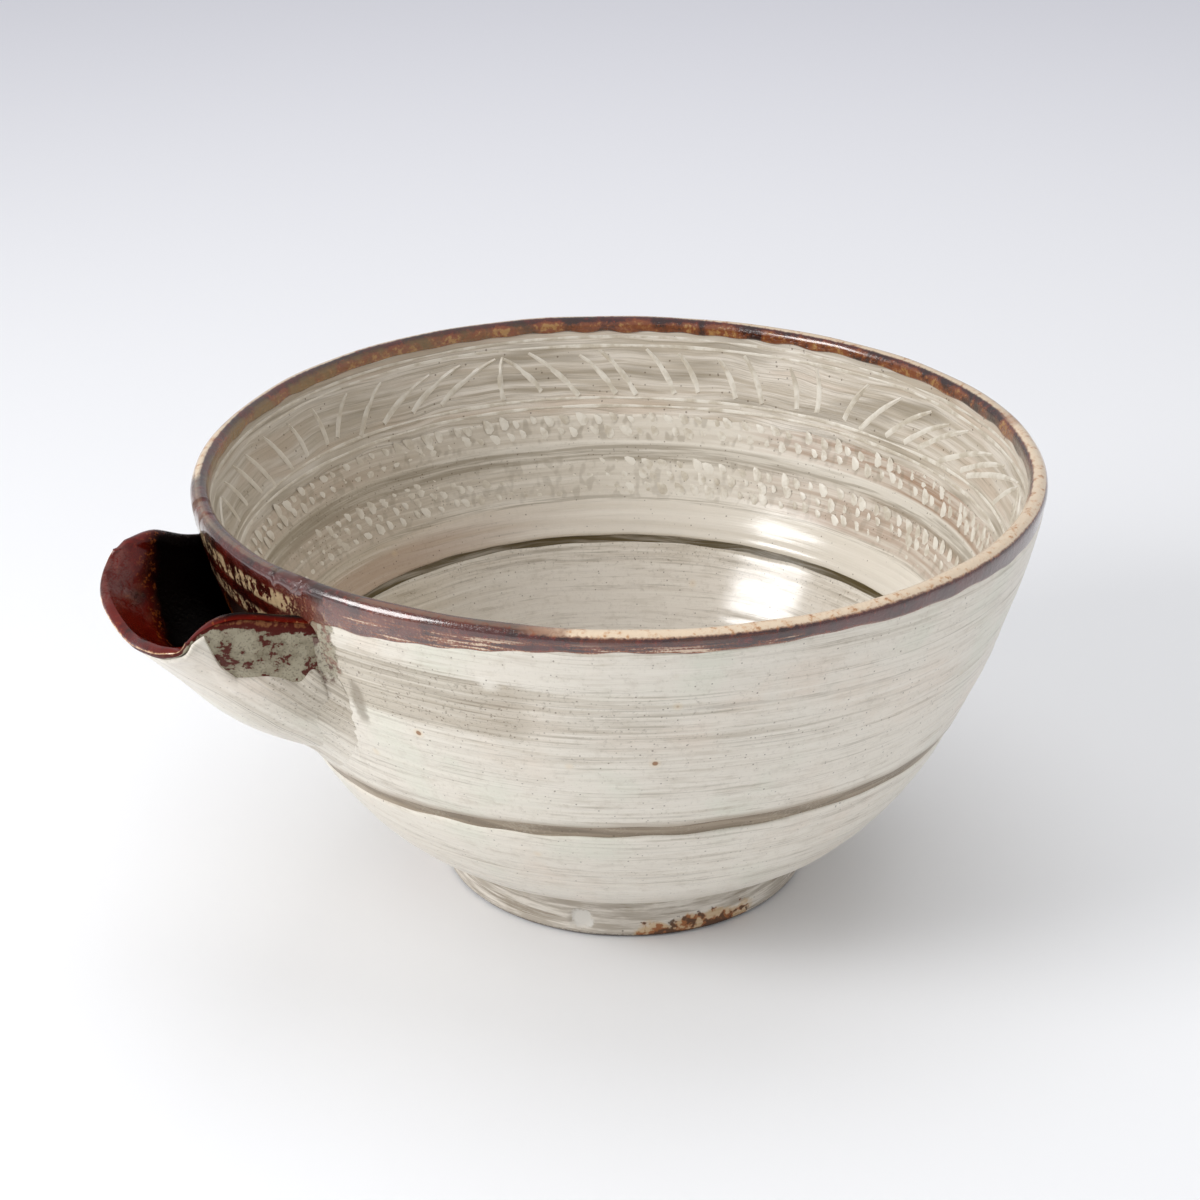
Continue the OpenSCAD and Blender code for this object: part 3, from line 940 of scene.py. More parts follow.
    @staticmethod
    def _specks(paint: Paint, amount: Wire, grit: Wire) -> None:
        """Lays pinholes and iron specks that come up through the slip.

        Args:
            paint: The finish in the making.
            amount: How many pinholes show.
            grit: Fine noise that makes them ragged.
        """
        away, chance = paint.grains(1.15)
        pin = (away + (grit - 0.5) * 0.25).step(0.24, 0.10) * (chance + amount * 0.50).step(0.92, 1.05)
        paint.over(pin * 0.62, Fired.SPECK)
        away, chance = paint.grains(0.095)
        rare = chance.step(0.52, 0.55)
        paint.over(away.step(0.13, 0.04) * rare * 0.30, Fired.DRIP)
        paint.over((away + (grit - 0.5) * 0.015).step(0.062, 0.036) * rare * 0.85, Fired.SPECK_RUST)


@dataclass(frozen=True)
class ThrownClay:
    """Grey-brown stoneware where no slip covers it: the groove, the feather band and the bare ring inside."""

    ring_z: float
    hole: "PourHole"
    rough: float = 0.34

    def material(self) -> bpy.types.Material:
        """Builds the finish, with the mark "inner" 0 outside and 1 inside.

        Returns:
            The material.
        """
        paint = Paint("thrown_clay")
        inner = paint.mark("inner").step(0.4, 0.6)
        rise = paint.z + paint.cos * 0.9 + paint.noise(0.05, 1.0) * 4.0
        hair = paint.streaks(2.8, rise, 0.9, 4.0, 0.6)
        fine = paint.streaks(6.0, rise, 3.2, 2.0, 0.6)
        blot = paint.noise(0.10, 3.0, 0.6)
        grit = paint.noise(2.0, 2.0, 0.6)
        broad = paint.streaks(2.0, rise, 0.22, 2.0, 0.55)
        scratch = paint.streaks(1.4, rise, 1.6, 6.0, 0.72)
        paint.start(hair.step(0.36, 0.64), Fired.SCRAPED, Fired.WASH)
        paint.over(broad.step(0.50, 0.68) * 0.5, Fired.WASH_PINK)
        paint.over(broad.step(0.46, 0.32) * 0.55, Fired.WASH_DARK)
        paint.over(fine.step(0.52, 0.72) * 0.30, Fired.WASH_DARK)
        paint.over(scratch.step(0.555, 0.60) * 0.40, Fired.WASH_DARK)
        # Painted shade: darker on the inner wall beside the spout, away from the key lamp.
        paint.over(paint.lobe(168.0, 90.0) * 0.40, Fired.WASH_DARK)
        ring = paint.z.window(self.ring_z - 1.6, self.ring_z + 1.6, 0.8)
        paint.over(ring * (0.55 + 0.45 * hair.step(0.3, 0.6)), Fired.OLIVE)
        wash = paint.colour
        paint.start(hair.step(0.35, 0.68), Fired.GROOVE_DARK, Fired.GROOVE)
        paint.over((grit * blot * 2.0).step(0.55, 0.80) * 0.5, Fired.STREAK)
        paint.over(inner, wash)
        under = paint.z.step(12.5, 10.5)
        paint.over(under, paint.bench.mix(hair.step(0.40, 0.65), Fired.CLAY_DARK, Fired.CLAY))
        behind = paint.lobe(180.0, 15.0).step(0.0, 0.1) * paint.z.window(50.0, 76.0, 1.0)
        run_over = self._run_over(paint, (blot - 0.5) * 6.0 + (grit - 0.5) * 2.5)
        paint.over(behind * (1 - inner) + run_over * inner, Fired.IRON_DEEP)
        away, chance = paint.grains(0.8)
        pin = (away + (grit - 0.5) * 0.15).step(0.22, 0.12) * chance.step(0.70, 0.78)
        paint.over(pin * 0.65, Fired.SPECK)
        rough = self.rough + under * 0.35 + (grit - 0.5) * 0.15
        return paint.finish(rough, hair * 0.6 + fine * 0.3 + grit * 0.2, 0.18)

    def _run_over(self, paint: Paint, ragged: Wire) -> Wire:
        """A ragged ring of glaze round the pour hole.

        Args:
            paint: The finish in the making.
            ragged: Unevenness of the ring in millimetres.

        Returns:
            1 on the ring and 0 away from the hole.
        """
        end_r = self.hole.height / 2
        beyond = paint.bench.math("MAXIMUM", abs(paint.y) - (self.hole.width / 2 - end_r), 0.0)
        above = paint.z - self.hole.z
        off_edge = paint.bench.math("SQRT", beyond * beyond + above * above + 1e-6) - end_r
        return (off_edge + ragged).step(2.4, 1.2) * paint.x.step(-40.0, -50.0)


@dataclass(frozen=True)
class FootClay:
    """Thin grey-olive wash on the foot, worn to rust and dark clay where it rests, with a pale chip."""

    rust_turn: float
    chip: tuple[float, float, float]
    chip_size: float

    def material(self) -> bpy.types.Material:
        """Builds the finish.

        Returns:
            The material.
        """
        paint = Paint("foot_clay")
        rise = paint.z + paint.cos * 0.5
        hair = paint.streaks(3.2, rise, 0.95, 4.0, 0.62)
        fine = paint.streaks(7.0, rise, 3.2, 2.0, 0.6)
        blot = paint.noise(0.22, 4.0, 0.62)
        grit = paint.noise(1.8, 3.0, 0.65)
        scratch = paint.streaks(1.6, rise, 1.2, 5.0, 0.7)
        knots = paint.noise(0.55, 2.0, 0.55)
        paint.start(hair.step(0.36, 0.62), Fired.FOOT_DARK, Fired.FOOT)
        paint.over(fine.step(0.56, 0.78) * 0.45, Fired.FOOT_DARK)
        paint.over(scratch.step(0.55, 0.60) * 0.55, Fired.CLAY_DARK)
        left = paint.lobe(163.0, 22.0) * paint.z.step(4.0, 9.0)
        paint.over(left * blot.step(0.36, 0.52), Fired.FOOT_RUST)
        paint.over(blot.step(0.54, 0.70) * 0.45, Fired.STREAK)
        worn = paint.z.step(7.5, 1.0) * (0.30 + paint.lobe(self.rust_turn, 27.0) * 0.9)
        blotted = worn + (blot - 0.5) * 1.6
        paint.over(blotted.step(0.55, 0.85) * 0.7, Fired.FOOT_TAN)
        paint.over((blotted + (knots - 0.5) * 2.0).step(0.80, 1.05) * 0.85, Fired.FOOT_RUST)
        burnt = (worn * 0.8 + (knots - 0.5) * 3.0 + (hair - 0.5) * 1.2).step(0.85, 1.10)
        paint.over(burnt * 0.8, Fired.FOOT_EDGE)
        paint.over((paint.z + (grit - 0.5) * 1.2).step(1.0, 0.35) * 0.85, Fired.FOOT_EDGE)
        ragged = (blot - 0.5) * 3.0 + (grit - 0.5) * 1.2
        paint.over((paint.away(self.chip) + ragged).step(self.chip_size, self.chip_size * 0.75), Fired.CHIP)
        rough = 0.45 + worn * 0.3 + (grit - 0.5) * 0.15
        return paint.finish(rough, hair * 0.5 + fine * 0.3 + grit * 0.3, 0.2)


@dataclass(frozen=True)
class IronGlaze:
    """Glossy red-brown iron glaze on the rim or in the channel, honey where thin and worn to tan."""

    name: str
    on_rim: bool
    rough: float = 0.17

    def material(self) -> bpy.types.Material:
        """Builds the finish for the rim or for the channel.

        Returns:
            The material.
        """
        paint = Paint(self.name)
        blot = paint.noise(0.16, 3.0, 0.6)
        crawl = paint.noise(0.75, 3.0, 0.65)
        grit = paint.noise(2.4, 2.0, 0.6)
        paint.start(blot.step(0.40, 0.60), Fired.IRON_DEEP, Fired.IRON)
        paint.over(crawl.step(0.52, 0.70) * 0.6, Fired.IRON_RED)
        paint.glaze({"Coat Roughness": 0.12})
        if self.on_rim:
            worn = self._rim(paint, blot, crawl, grit)
            paint.glaze({"Specular IOR Level": 0.5, "Coat Weight": 0.8, "Coat IOR": 1.8})
        else:
            worn = self._channel(paint, blot, crawl, grit)
            paint.glaze({"Specular IOR Level": 0.04, "Coat IOR": 1.5})
        rough = self.rough + worn * 0.2 + (crawl - 0.5) * 0.18
        return paint.finish(rough, crawl * 0.7 + grit * 0.35, 0.3)

    def _rim(self, paint: Paint, blot: Wire, crawl: Wire, grit: Wire) -> Wire:
        """Lays wear, honey edges and drips on the rim.

        Args:
            paint: The finish in the making.
            blot: Slow noise.
            crawl: Finer noise.
            grit: Finest noise.

        Returns:
            How worn the glaze is.
        """
        lip = paint.mark("lip")
        ragged = (crawl - 0.5) * 1.6 + (grit - 0.5) * 0.9
        far = paint.lobe(65.0, 110.0).step(0.0, 0.30)
        inside = lip.step(0.4, 2.2)
        thin = (inside * far * 0.8 + ragged * 0.45 + (blot - 0.5) * 2.2).step(0.45, 0.95)
        paint.over(thin * 0.75, Fired.IRON_RUST)
        honey = (inside * far + (crawl - 0.5) * 2.2 + (blot - 0.5) * 2.0).step(1.1, 1.5)
        paint.over(honey * 0.75, Fired.IRON_HONEY)
        paint.over(inside * paint.lobe(125.0, 62.0) * blot.step(0.62, 0.42) * 0.8, Fired.IRON_OLIVE)
        paint.over(paint.lobe(-35.0, 70.0) * lip.step(-1.0, -2.0) * 0.45, Fired.IRON_VIOLET)
        fringe = paint.mark("fringe")
        paint.over((fringe + ragged * 0.18).step(0.60, 0.95) * 0.7, Fired.IRON_RUST)
        paint.over((fringe + ragged * 0.2).step(0.42, 0.80) * inside * far * 0.6, Fired.IRON_HONEY)
        faded = paint.lobe(-155.0, 17.0).step(0.0, 0.5) * lip.step(-2.0, -4.0)
        paint.over(faded * (0.40 + (blot - 0.5) * 2.0), Fired.IRON_THIN)
        paint.over(faded * (crawl + (grit - 0.5) * 0.5).step(0.56, 0.70) * 0.25, Fired.DRIP)
        top, edge = self._rubbed(paint, lip + ragged * 0.45, blot, crawl)
        outer = paint.lobe(12.0, 50.0)
        crest = (abs(lip + 0.45 - outer * 0.3) + ragged * 0.35 - outer * 0.5).step(0.75, 0.25) * (1 - edge)
        crest = crest * (1 - paint.lobe(-146.0, 26.0).step(0.0, 0.25) * 0.85)
        side = (paint.lobe(157.0, 21.0) * (blot * 2.4 + (crawl - 0.5) * 1.2 - 0.2)).step(0.0, 0.5)
        side = side * (lip + ragged * 0.4).window(-4.6, -0.8, 0.6)
        spout = paint.lobe(180.0, 28.0).step(0.0, 0.30)
        worn = (top + crest * 0.85 + side * 0.8) * (1 - spout * 0.85)
        low = lip.step(-2.6, -4.2)
        brushed = paint.streaks(5.0, lip, 0.9, 4.0, 0.65)
        streaky = paint.lobe(-128.0, 40.0).step(0.0, 0.5) * (brushed + (grit - 0.5) * 0.2)
        paint.over(streaky.step(0.46, 0.56) * (0.2 + low * 0.5), Fired.IRON_RUST)
        paint.over(streaky.step(0.54, 0.62) * low * 0.75, Fired.LIP_TAN)
        tan = paint.bench.mix(crawl.step(0.50, 0.72), Fired.LIP_TAN, Fired.LIP_ORANGE)
        paint.over(worn * crawl.step(0.84, 0.62), tan)
        paint.over((top * 2.0 - top * top * 2.0) * 1.4 * (1 - spout) * 0.6, Fired.IRON_RUST)
        channel = paint.lobe(181.0, 15.0).step(0.0, 0.25) * lip.step(-3.0, -4.2)
        hanging = paint.bench.join(paint.y * 0.8, paint.x * 0.8, paint.z * 0.35)
        runs = paint.bench.noise(hanging, 1.0, 3.0, 0.65)
        runs = (runs + (crawl - 0.5) * 0.5 + (grit - 0.5) * 0.4 + (blot - 0.5) * 0.5).step(0.46, 0.56)
        belt = paint.z.window(78.4, 81.0, 0.9) + paint.z.window(72.6, 74.6, 0.7) * 0.8
        paint.over(belt * channel * runs * 0.85, Fired.DRIP)
        return worn

    @staticmethod
    def _rubbed(paint: Paint, lip: Wire, blot: Wire, crawl: Wire) -> tuple[Wire, Wire]:
        """Where the front of the lip is rubbed bare.

        Args:
            paint: The finish in the making.
            lip: Ragged distance inwards from the lip's crown.
            blot: Slow noise.
            crawl: Finer noise.

        Returns:
            How bare the lip is, and how near to the front the place is.
        """
        near = (paint.lobe(-74.0, 63.0) * (blot * 2.0 + (crawl - 0.5) * 0.8)).step(0.0, 0.20)
        front = paint.lobe(-92.0, 52.0).step(0.0, 0.25)
        return lip.window(-1.4, 0.9, 0.5) * near + lip.window(1.4, 4.5, 0.5) * front * near, near

    @staticmethod
    def _channel(paint: Paint, blot: Wire, crawl: Wire, grit: Wire) -> Wire:
        """Lays wear on the pouring lip, honey flecks, a violet patch with a painted sheen, and painted black
        shade at the channel's root.

        Args:
            paint: The finish in the making.
            blot: Slow noise.
            crawl: Finer noise.
            grit: Finest noise.

        Returns:
            How worn the glaze is.
        """
        rub = paint.mark("rub")
        ragged = (crawl - 0.5) * 1.1 + (grit - 0.5) * 0.5 + (blot - 0.5) * 0.8
        paint.over(blot.step(0.25, 0.50) * 0.5, Fired.IRON_SCARLET)
        # Violet patch on the far wall: partly the glaze's own crystalline colour, partly a painted reflection
        # of the sky.
        violet_patch_and_sheen = paint.x.window(-103.5, -95.5, 2.0) * paint.y.step(7.0, 12.0)
        paint.over(violet_patch_and_sheen * (crawl * 0.6 + grit * 0.4).step(0.42, 0.56) * 0.55, Fired.IRON_VIOLET)
        paint.over((crawl * 0.6 + grit * 0.5 + blot * 0.2).step(0.76, 0.86) * 0.5, Fired.IRON_RUST)
        # Painted shade: the channel's root, deep in shadow, is painted black and loses its coat.
        painted_channel_shade = (paint.x - paint.y.step(15.0, 21.0) * 5.0 + (blot - 0.5) * 6.0).step(-94.5, -89.5)
        paint.over(painted_channel_shade * rub.step(0.5, 0.1), Fired.PAINTED_SHADE_BLACK)
        # Rust flecks along the edge of the painted shade.
        shade_edge_rust = painted_channel_shade.window(0.2, 0.85, 0.1) * (crawl * 0.7 + grit * 0.5).step(0.62, 0.74)
        paint.over(shade_edge_rust * 0.55, Fired.IRON_RUST)
        worn = (rub + ragged).step(0.80, 1.10)
        paint.over((rub + ragged).step(0.60, 0.95) * 0.75, Fired.LIP_ORANGE)
        paint.over(worn * 0.7, Fired.LIP_TAN)
        paint.glaze({"Coat Weight": (1 - painted_channel_shade) * 0.9})
        return worn


@dataclass(frozen=True)
class SpoutClay:
    """Bare beige slab on the spout's sides, spotted with iron, with glaze over its edges."""

    rough: float = 0.4

    def material(self) -> bpy.types.Material:
        """Builds the finish, with the mark "rub" 1 along the slab's edges.

        Returns:
            The material.
        """
        paint = Paint("spout_clay")
        blot = paint.noise(0.20, 3.0, 0.6)
        crawl = paint.noise(0.75, 3.0, 0.65)
        grit = paint.noise(2.2, 2.0, 0.6)
        paint.start(blot.step(0.40, 0.62), Fired.FACET, Fired.FACET_DARK)
        paint.over((crawl * 0.7 + grit * 0.4).step(0.60, 0.75) * 0.5, Fired.STREAK)
        paint.over(grit.step(0.52, 0.66) * 0.45, Fired.FOOT_EDGE)
        low = paint.z.window(63.0, 67.5, 1.5)
        paint.over((blot * 0.60 + crawl * 0.60 + low * 0.05).step(0.645, 0.70) * 0.95, Fired.IRON)
        rubbed = paint.mark("rub") + ((crawl - 0.5) * 1.3 + (grit - 0.5) * 0.4 + (blot - 0.5) * 1.2)
        paint.over(rubbed.step(0.26, 0.50), Fired.IRON)
        paint.over(rubbed.step(0.95, 1.20) * 0.25, Fired.LIP_ORANGE)
        paint.glaze({"Specular IOR Level": 0.15})
        return paint.finish(self.rough + (crawl - 0.5) * 0.2, crawl * 0.6 + grit * 0.4, 0.25)


@dataclass(frozen=True)
class InlaySlip:
    """White slip rubbed into cut lines and wiped thin in places, the more so the more worn it is."""

    name: str
    worn: float

    def material(self) -> bpy.types.Material:
        """Builds the finish.

        Returns:
            The material.
        """
        paint = Paint(self.name)
        blot = paint.noise(0.22, 3.0, 0.6)
        grit = paint.noise(1.8, 2.0, 0.6)
        paint.start(blot.step(0.40, 0.62), Fired.INLAY, Fired.INLAY_GREY)
        wiped = (blot * 0.6 + grit * 0.4).step(0.62 - self.worn * 0.2, 0.72 - self.worn * 0.1)
        paint.over(wiped * 0.7, Fired.WASH)
        # Painted shade: the inlay dulls on the inner wall beside the spout, away from the key lamp.
        paint.over(paint.lobe(165.0, 100.0) * 0.55, Fired.WASH)
        return paint.finish(0.3 + grit * 0.12, grit * 0.6 + blot * 0.4, 0.1)


def dress(obj: Piece, material: bpy.types.Material, slot: str, *nodes: str) -> None:
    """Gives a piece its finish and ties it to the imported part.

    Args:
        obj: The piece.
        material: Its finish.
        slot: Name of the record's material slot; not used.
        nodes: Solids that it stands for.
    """
    obj.data.materials.clear()
    obj.data.materials.append(material)
    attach(obj, BODY)
    if nodes:
        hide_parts(*nodes)
    LOG.info("%s: %d faces, for %s", obj.name, len(obj.data.polygons), ", ".join(nodes) or "the pattern")


@dataclass(frozen=True)
class PourHole:
    """Slot with round ends through the wall behind the spout, in millimetres."""

    z: float = 63.0
    width: float = 28.0
    height: float = 18.0
    near: float = 60.0
    far: float = 96.0

    def edge(self, theta: Array, radius: float, side: float, outside_z: float) -> Array:
        """Height of the hole's upper or lower edge at each column.

        Args:
            theta: Angles in radians.
            radius: Radius of the wall at the hole.
            side: 1 for the upper edge and -1 for the lower one.
            outside_z: Height for columns that the hole doesn't reach.

        Returns:
            A height for each column.
        """
        end_r = self.height / 2
        across = np.abs(radius * np.sin(theta))
        reach = np.clip((across - self.width / 2 + end_r) / end_r, 0, 1)
        height = self.z + side * end_r * np.sqrt(1 - reach ** 2)
        over = (np.cos(theta) < 0) & (across < self.width / 2)
        return np.where(over, height, outside_z)

    def cut(self, shop: Workshop, obj: Piece) -> None:
        """Cuts the hole through a piece.

        Args:
            shop: Maker of the cutter.
            obj: The piece, whose mesh is replaced.
        """
        end_r = self.height / 2
        turn = np.linspace(0, FULL_TURN, 64, endpoint=False)
        y = end_r * np.cos(turn) + np.sign(np.round(np.cos(turn), 6)) * (self.width / 2 - end_r)
        z = self.z + end_r * np.sin(turn)
        rims = [np.stack([np.full_like(y, -u), y, z], axis=1) for u in (self.near, self.far)]
        ends = [np.array([[-u, 0, self.z]]) for u in (self.near, self.far)]
        cutter = shop.round_body("hole_cutter", [ends[0], *rims, ends[1]], closed=False)
        modifier = obj.modifiers.new("pour_hole", "BOOLEAN")
        modifier.operation = "DIFFERENCE"
        modifier.solver = "EXACT"
        modifier.object = cutter
        depsgraph = bpy.context.evaluated_depsgraph_get()
        cut_mesh = bpy.data.meshes.new_from_object(obj.evaluated_get(depsgraph))
        obj.modifiers.remove(modifier)
        obj.data = cut_mesh
        cut_mesh.set_sharp_from_angle(angle=SHARP_ANGLE)
        bpy.data.objects.remove(cutter)


@dataclass(frozen=True)
class TiltedGroove:
    """The groove that runs round the outside and rises by lift towards turn, in millimetres and degrees."""

    z: float = 34.5
    lift: float = 6.7
    turn: float = -98.0
    width: float = 3.0
    depth: float = 0.1

    def height(self, theta: Array) -> Array:
        """Height of the groove at each angle."""
        return self.z + self.lift * np.cos(theta - math.radians(self.turn))


@dataclass
class PotWork:
    """What the pieces of the pot share: the bowl's section and face, the workshop, hole and groove."""

    wall: WallProfile
    skin: SkinPath
    shop: Workshop
    hole: PourHole
    groove: TiltedGroove


@dataclass
class ThrownBowl(PotWork):
    """The bowl's body: wall, lip, well and the boss under its floor.

    The mesh's rings lie a pitch apart where the clay shows, as in the feather band round band_z. The trimming
    tool left a nub and a spiral under the floor, and throwing is the height of the throwing lines.
    """

    band_z: float = 75.0
    pitch: float = 0.9
    throwing: float = 0.07
    ring_cut: float = 0.25
    ring_half: float = 0.9
    nub: float = 0.9
    spiral: float = 0.14
    spiral_pitch: float = 3.2

    def build(self) -> None:
        """Lofts the body from the boss under the floor to the middle of the well, and cuts the hole."""
        lines = HandNoise(seed=11, turns=3, pitch=3.2)
        rows = self._underside()
        marks = [np.zeros(len(row)) for row in rows]
        groove_run = self.skin.run_outside(self.groove.height(THETA))
        ring_run = self.skin.run_inside(self.wall.ring_z)
        for run in self._runs():
            offset = -self.wall.coat_t + self.throwing * lines.at(THETA, run)
            offset -= self.groove.depth * np.exp(-((run - groove_run) / (0.4 * self.groove.width)) ** 2)
            offset -= self.ring_cut * np.exp(-((run - ring_run) / self.ring_half) ** 2)
            rows.append(self.skin.place(THETA, run, offset))
            marks.append(np.full(COLUMNS, float(run > self.skin.crown)))
        rows.append(self.skin.place(np.zeros(1), self.skin.end, -self.wall.coat_t))
        marks.append(np.ones(1))
        body = self.shop.round_body("thrown_bowl", rows, closed=False, marks={"inner": marks})
        self.hole.cut(self.shop, body)
        dress(body, ThrownClay(self.wall.ring_z, self.hole).material(), "raw_clay", "bowl_body")

    def _runs(self) -> list[float]:
        """Spaces the mesh's rings, twice as far apart where a coat hides them.

        Returns:
            Places of the rings along the face.
        """
        groove = float(self.skin.run_outside(self.groove.z))
        ring = float(self.skin.run_inside(self.wall.ring_z))
        band = float(self.skin.run_inside(self.band_z))
        bare = ((groove, 6.0), (ring, 3.0), (band, 10.0))
        runs, run = [], 0.0
        while run < self.skin.end - 0.6:
            runs.append(run)
            run += self.pitch if any(abs(run - middle) < half for middle, half in bare) else 2 * self.pitch
        return runs

    def _underside(self) -> list[Array]:
        """Turns the face under the floor, with the trimming tool's spiral and the nub in its middle.

        Returns:
            Rings from the axis to the outside of the foot.
        """
        boss_r = self.wall.boss_r
        floor_z = self.wall.foot_h - self.wall.boss_h
        rows = [np.array([[0.0, 0.0, floor_z - self.nub]])]
        for radius in np.linspace(0.8, boss_r, 44):
            wave = np.sin(FULL_TURN * radius / self.spiral_pitch + THETA)
            relief = self.spiral * wave * smooth(radius, 4.0, 8.0) - self.nub * (1 - smooth(radius, 0.0, 5.5))
            rows.append(turned(radius, floor_z + relief * (1 - smooth(radius, boss_r - 1.0, boss_r))))
        rows += [turned(radius, self.wall.foot_h + 0.02) for radius in (boss_r, self.wall.foot_r - 0.3)]
        return rows


@dataclass
class TrimmedFoot(PotWork):
    """The foot ring, trimmed on the wheel, with a chip, a patch of rust and a worn resting edge."""

    chip_turn: float = -134.0
    chip_z: float = 3.6
    chip_size: float = 2.5
    chip_depth: float = 0.7
    rust_turn: float = -98.0
    tool_marks: float = 0.06
    dents: float = 0.05
    wear: float = 0.10

    def build(self) -> None:
        """Turns the ring's section round the axis."""
        section = self._section()
        marks = HandNoise(seed=23, turns=4, pitch=2.6)
        dent = HandNoise(seed=29, turns=24).at(THETA)
        turn = math.radians(self.chip_turn)
        chip = (self.wall.foot_r * math.cos(turn), self.wall.foot_r * math.sin(turn), self.chip_z)
        steps = np.linalg.norm(np.diff(section[:, :2], axis=0), axis=1)
        lengths = np.concatenate([[0], np.cumsum(steps)])
        rows = []
        for (radius, height, out), length in zip(section, lengths):
            side = smooth(height, 0.3, 2.0)
            lift = side * (self.tool_marks * marks.at(THETA, length) + self.dents * dent)
            lift = lift - self.wear * (1 - side) * np.clip(dent, 0, None) * abs(out)
            lift = np.where(height > self.wall.foot_h - 0.1, 0.0, lift)
            away = np.linalg.norm(turned(radius, height) - np.array(chip), axis=1)
            lift = lift - self.chip_depth * (1 - smooth(away, self.chip_size * 0.7, self.chip_size))
            rows.append(turned(radius + lift * out, height))
        ring = self.shop.round_body("trimmed_foot", rows, closed=True)
        clay = FootClay(self.rust_turn, chip, self.chip_size)
        dress(ring, clay.material(), "foot_clay", "foot_ring")

    def _section(self) -> Array:
        """The ring's section, from its top outside, under the edge and up its inside.

        Returns:
            Rows of radius, height and how far outwards the clay faces, from -1 to 1.
        """
        wall, rounding = self.wall, self.wall.foot_round
        outside = [(wall.foot_r, height, 1.0) for height in np.linspace(wall.foot_h, rounding, 22)[:-1]]
        under = [
            (middle + rounding * math.cos(turn), rounding + rounding * math.sin(turn), math.cos(turn))
            for middle, first in ((wall.foot_r - rounding, 0.0), (wall.boss_r + rounding, -90.0))
            for turn in np.radians(np.linspace(first, first - 90.0, 9))
        ]
        inside = [(wall.boss_r, height, -1.0) for height in np.linspace(rounding, wall.foot_h, 16)[1:]]
        return np.array(outside + under + inside)


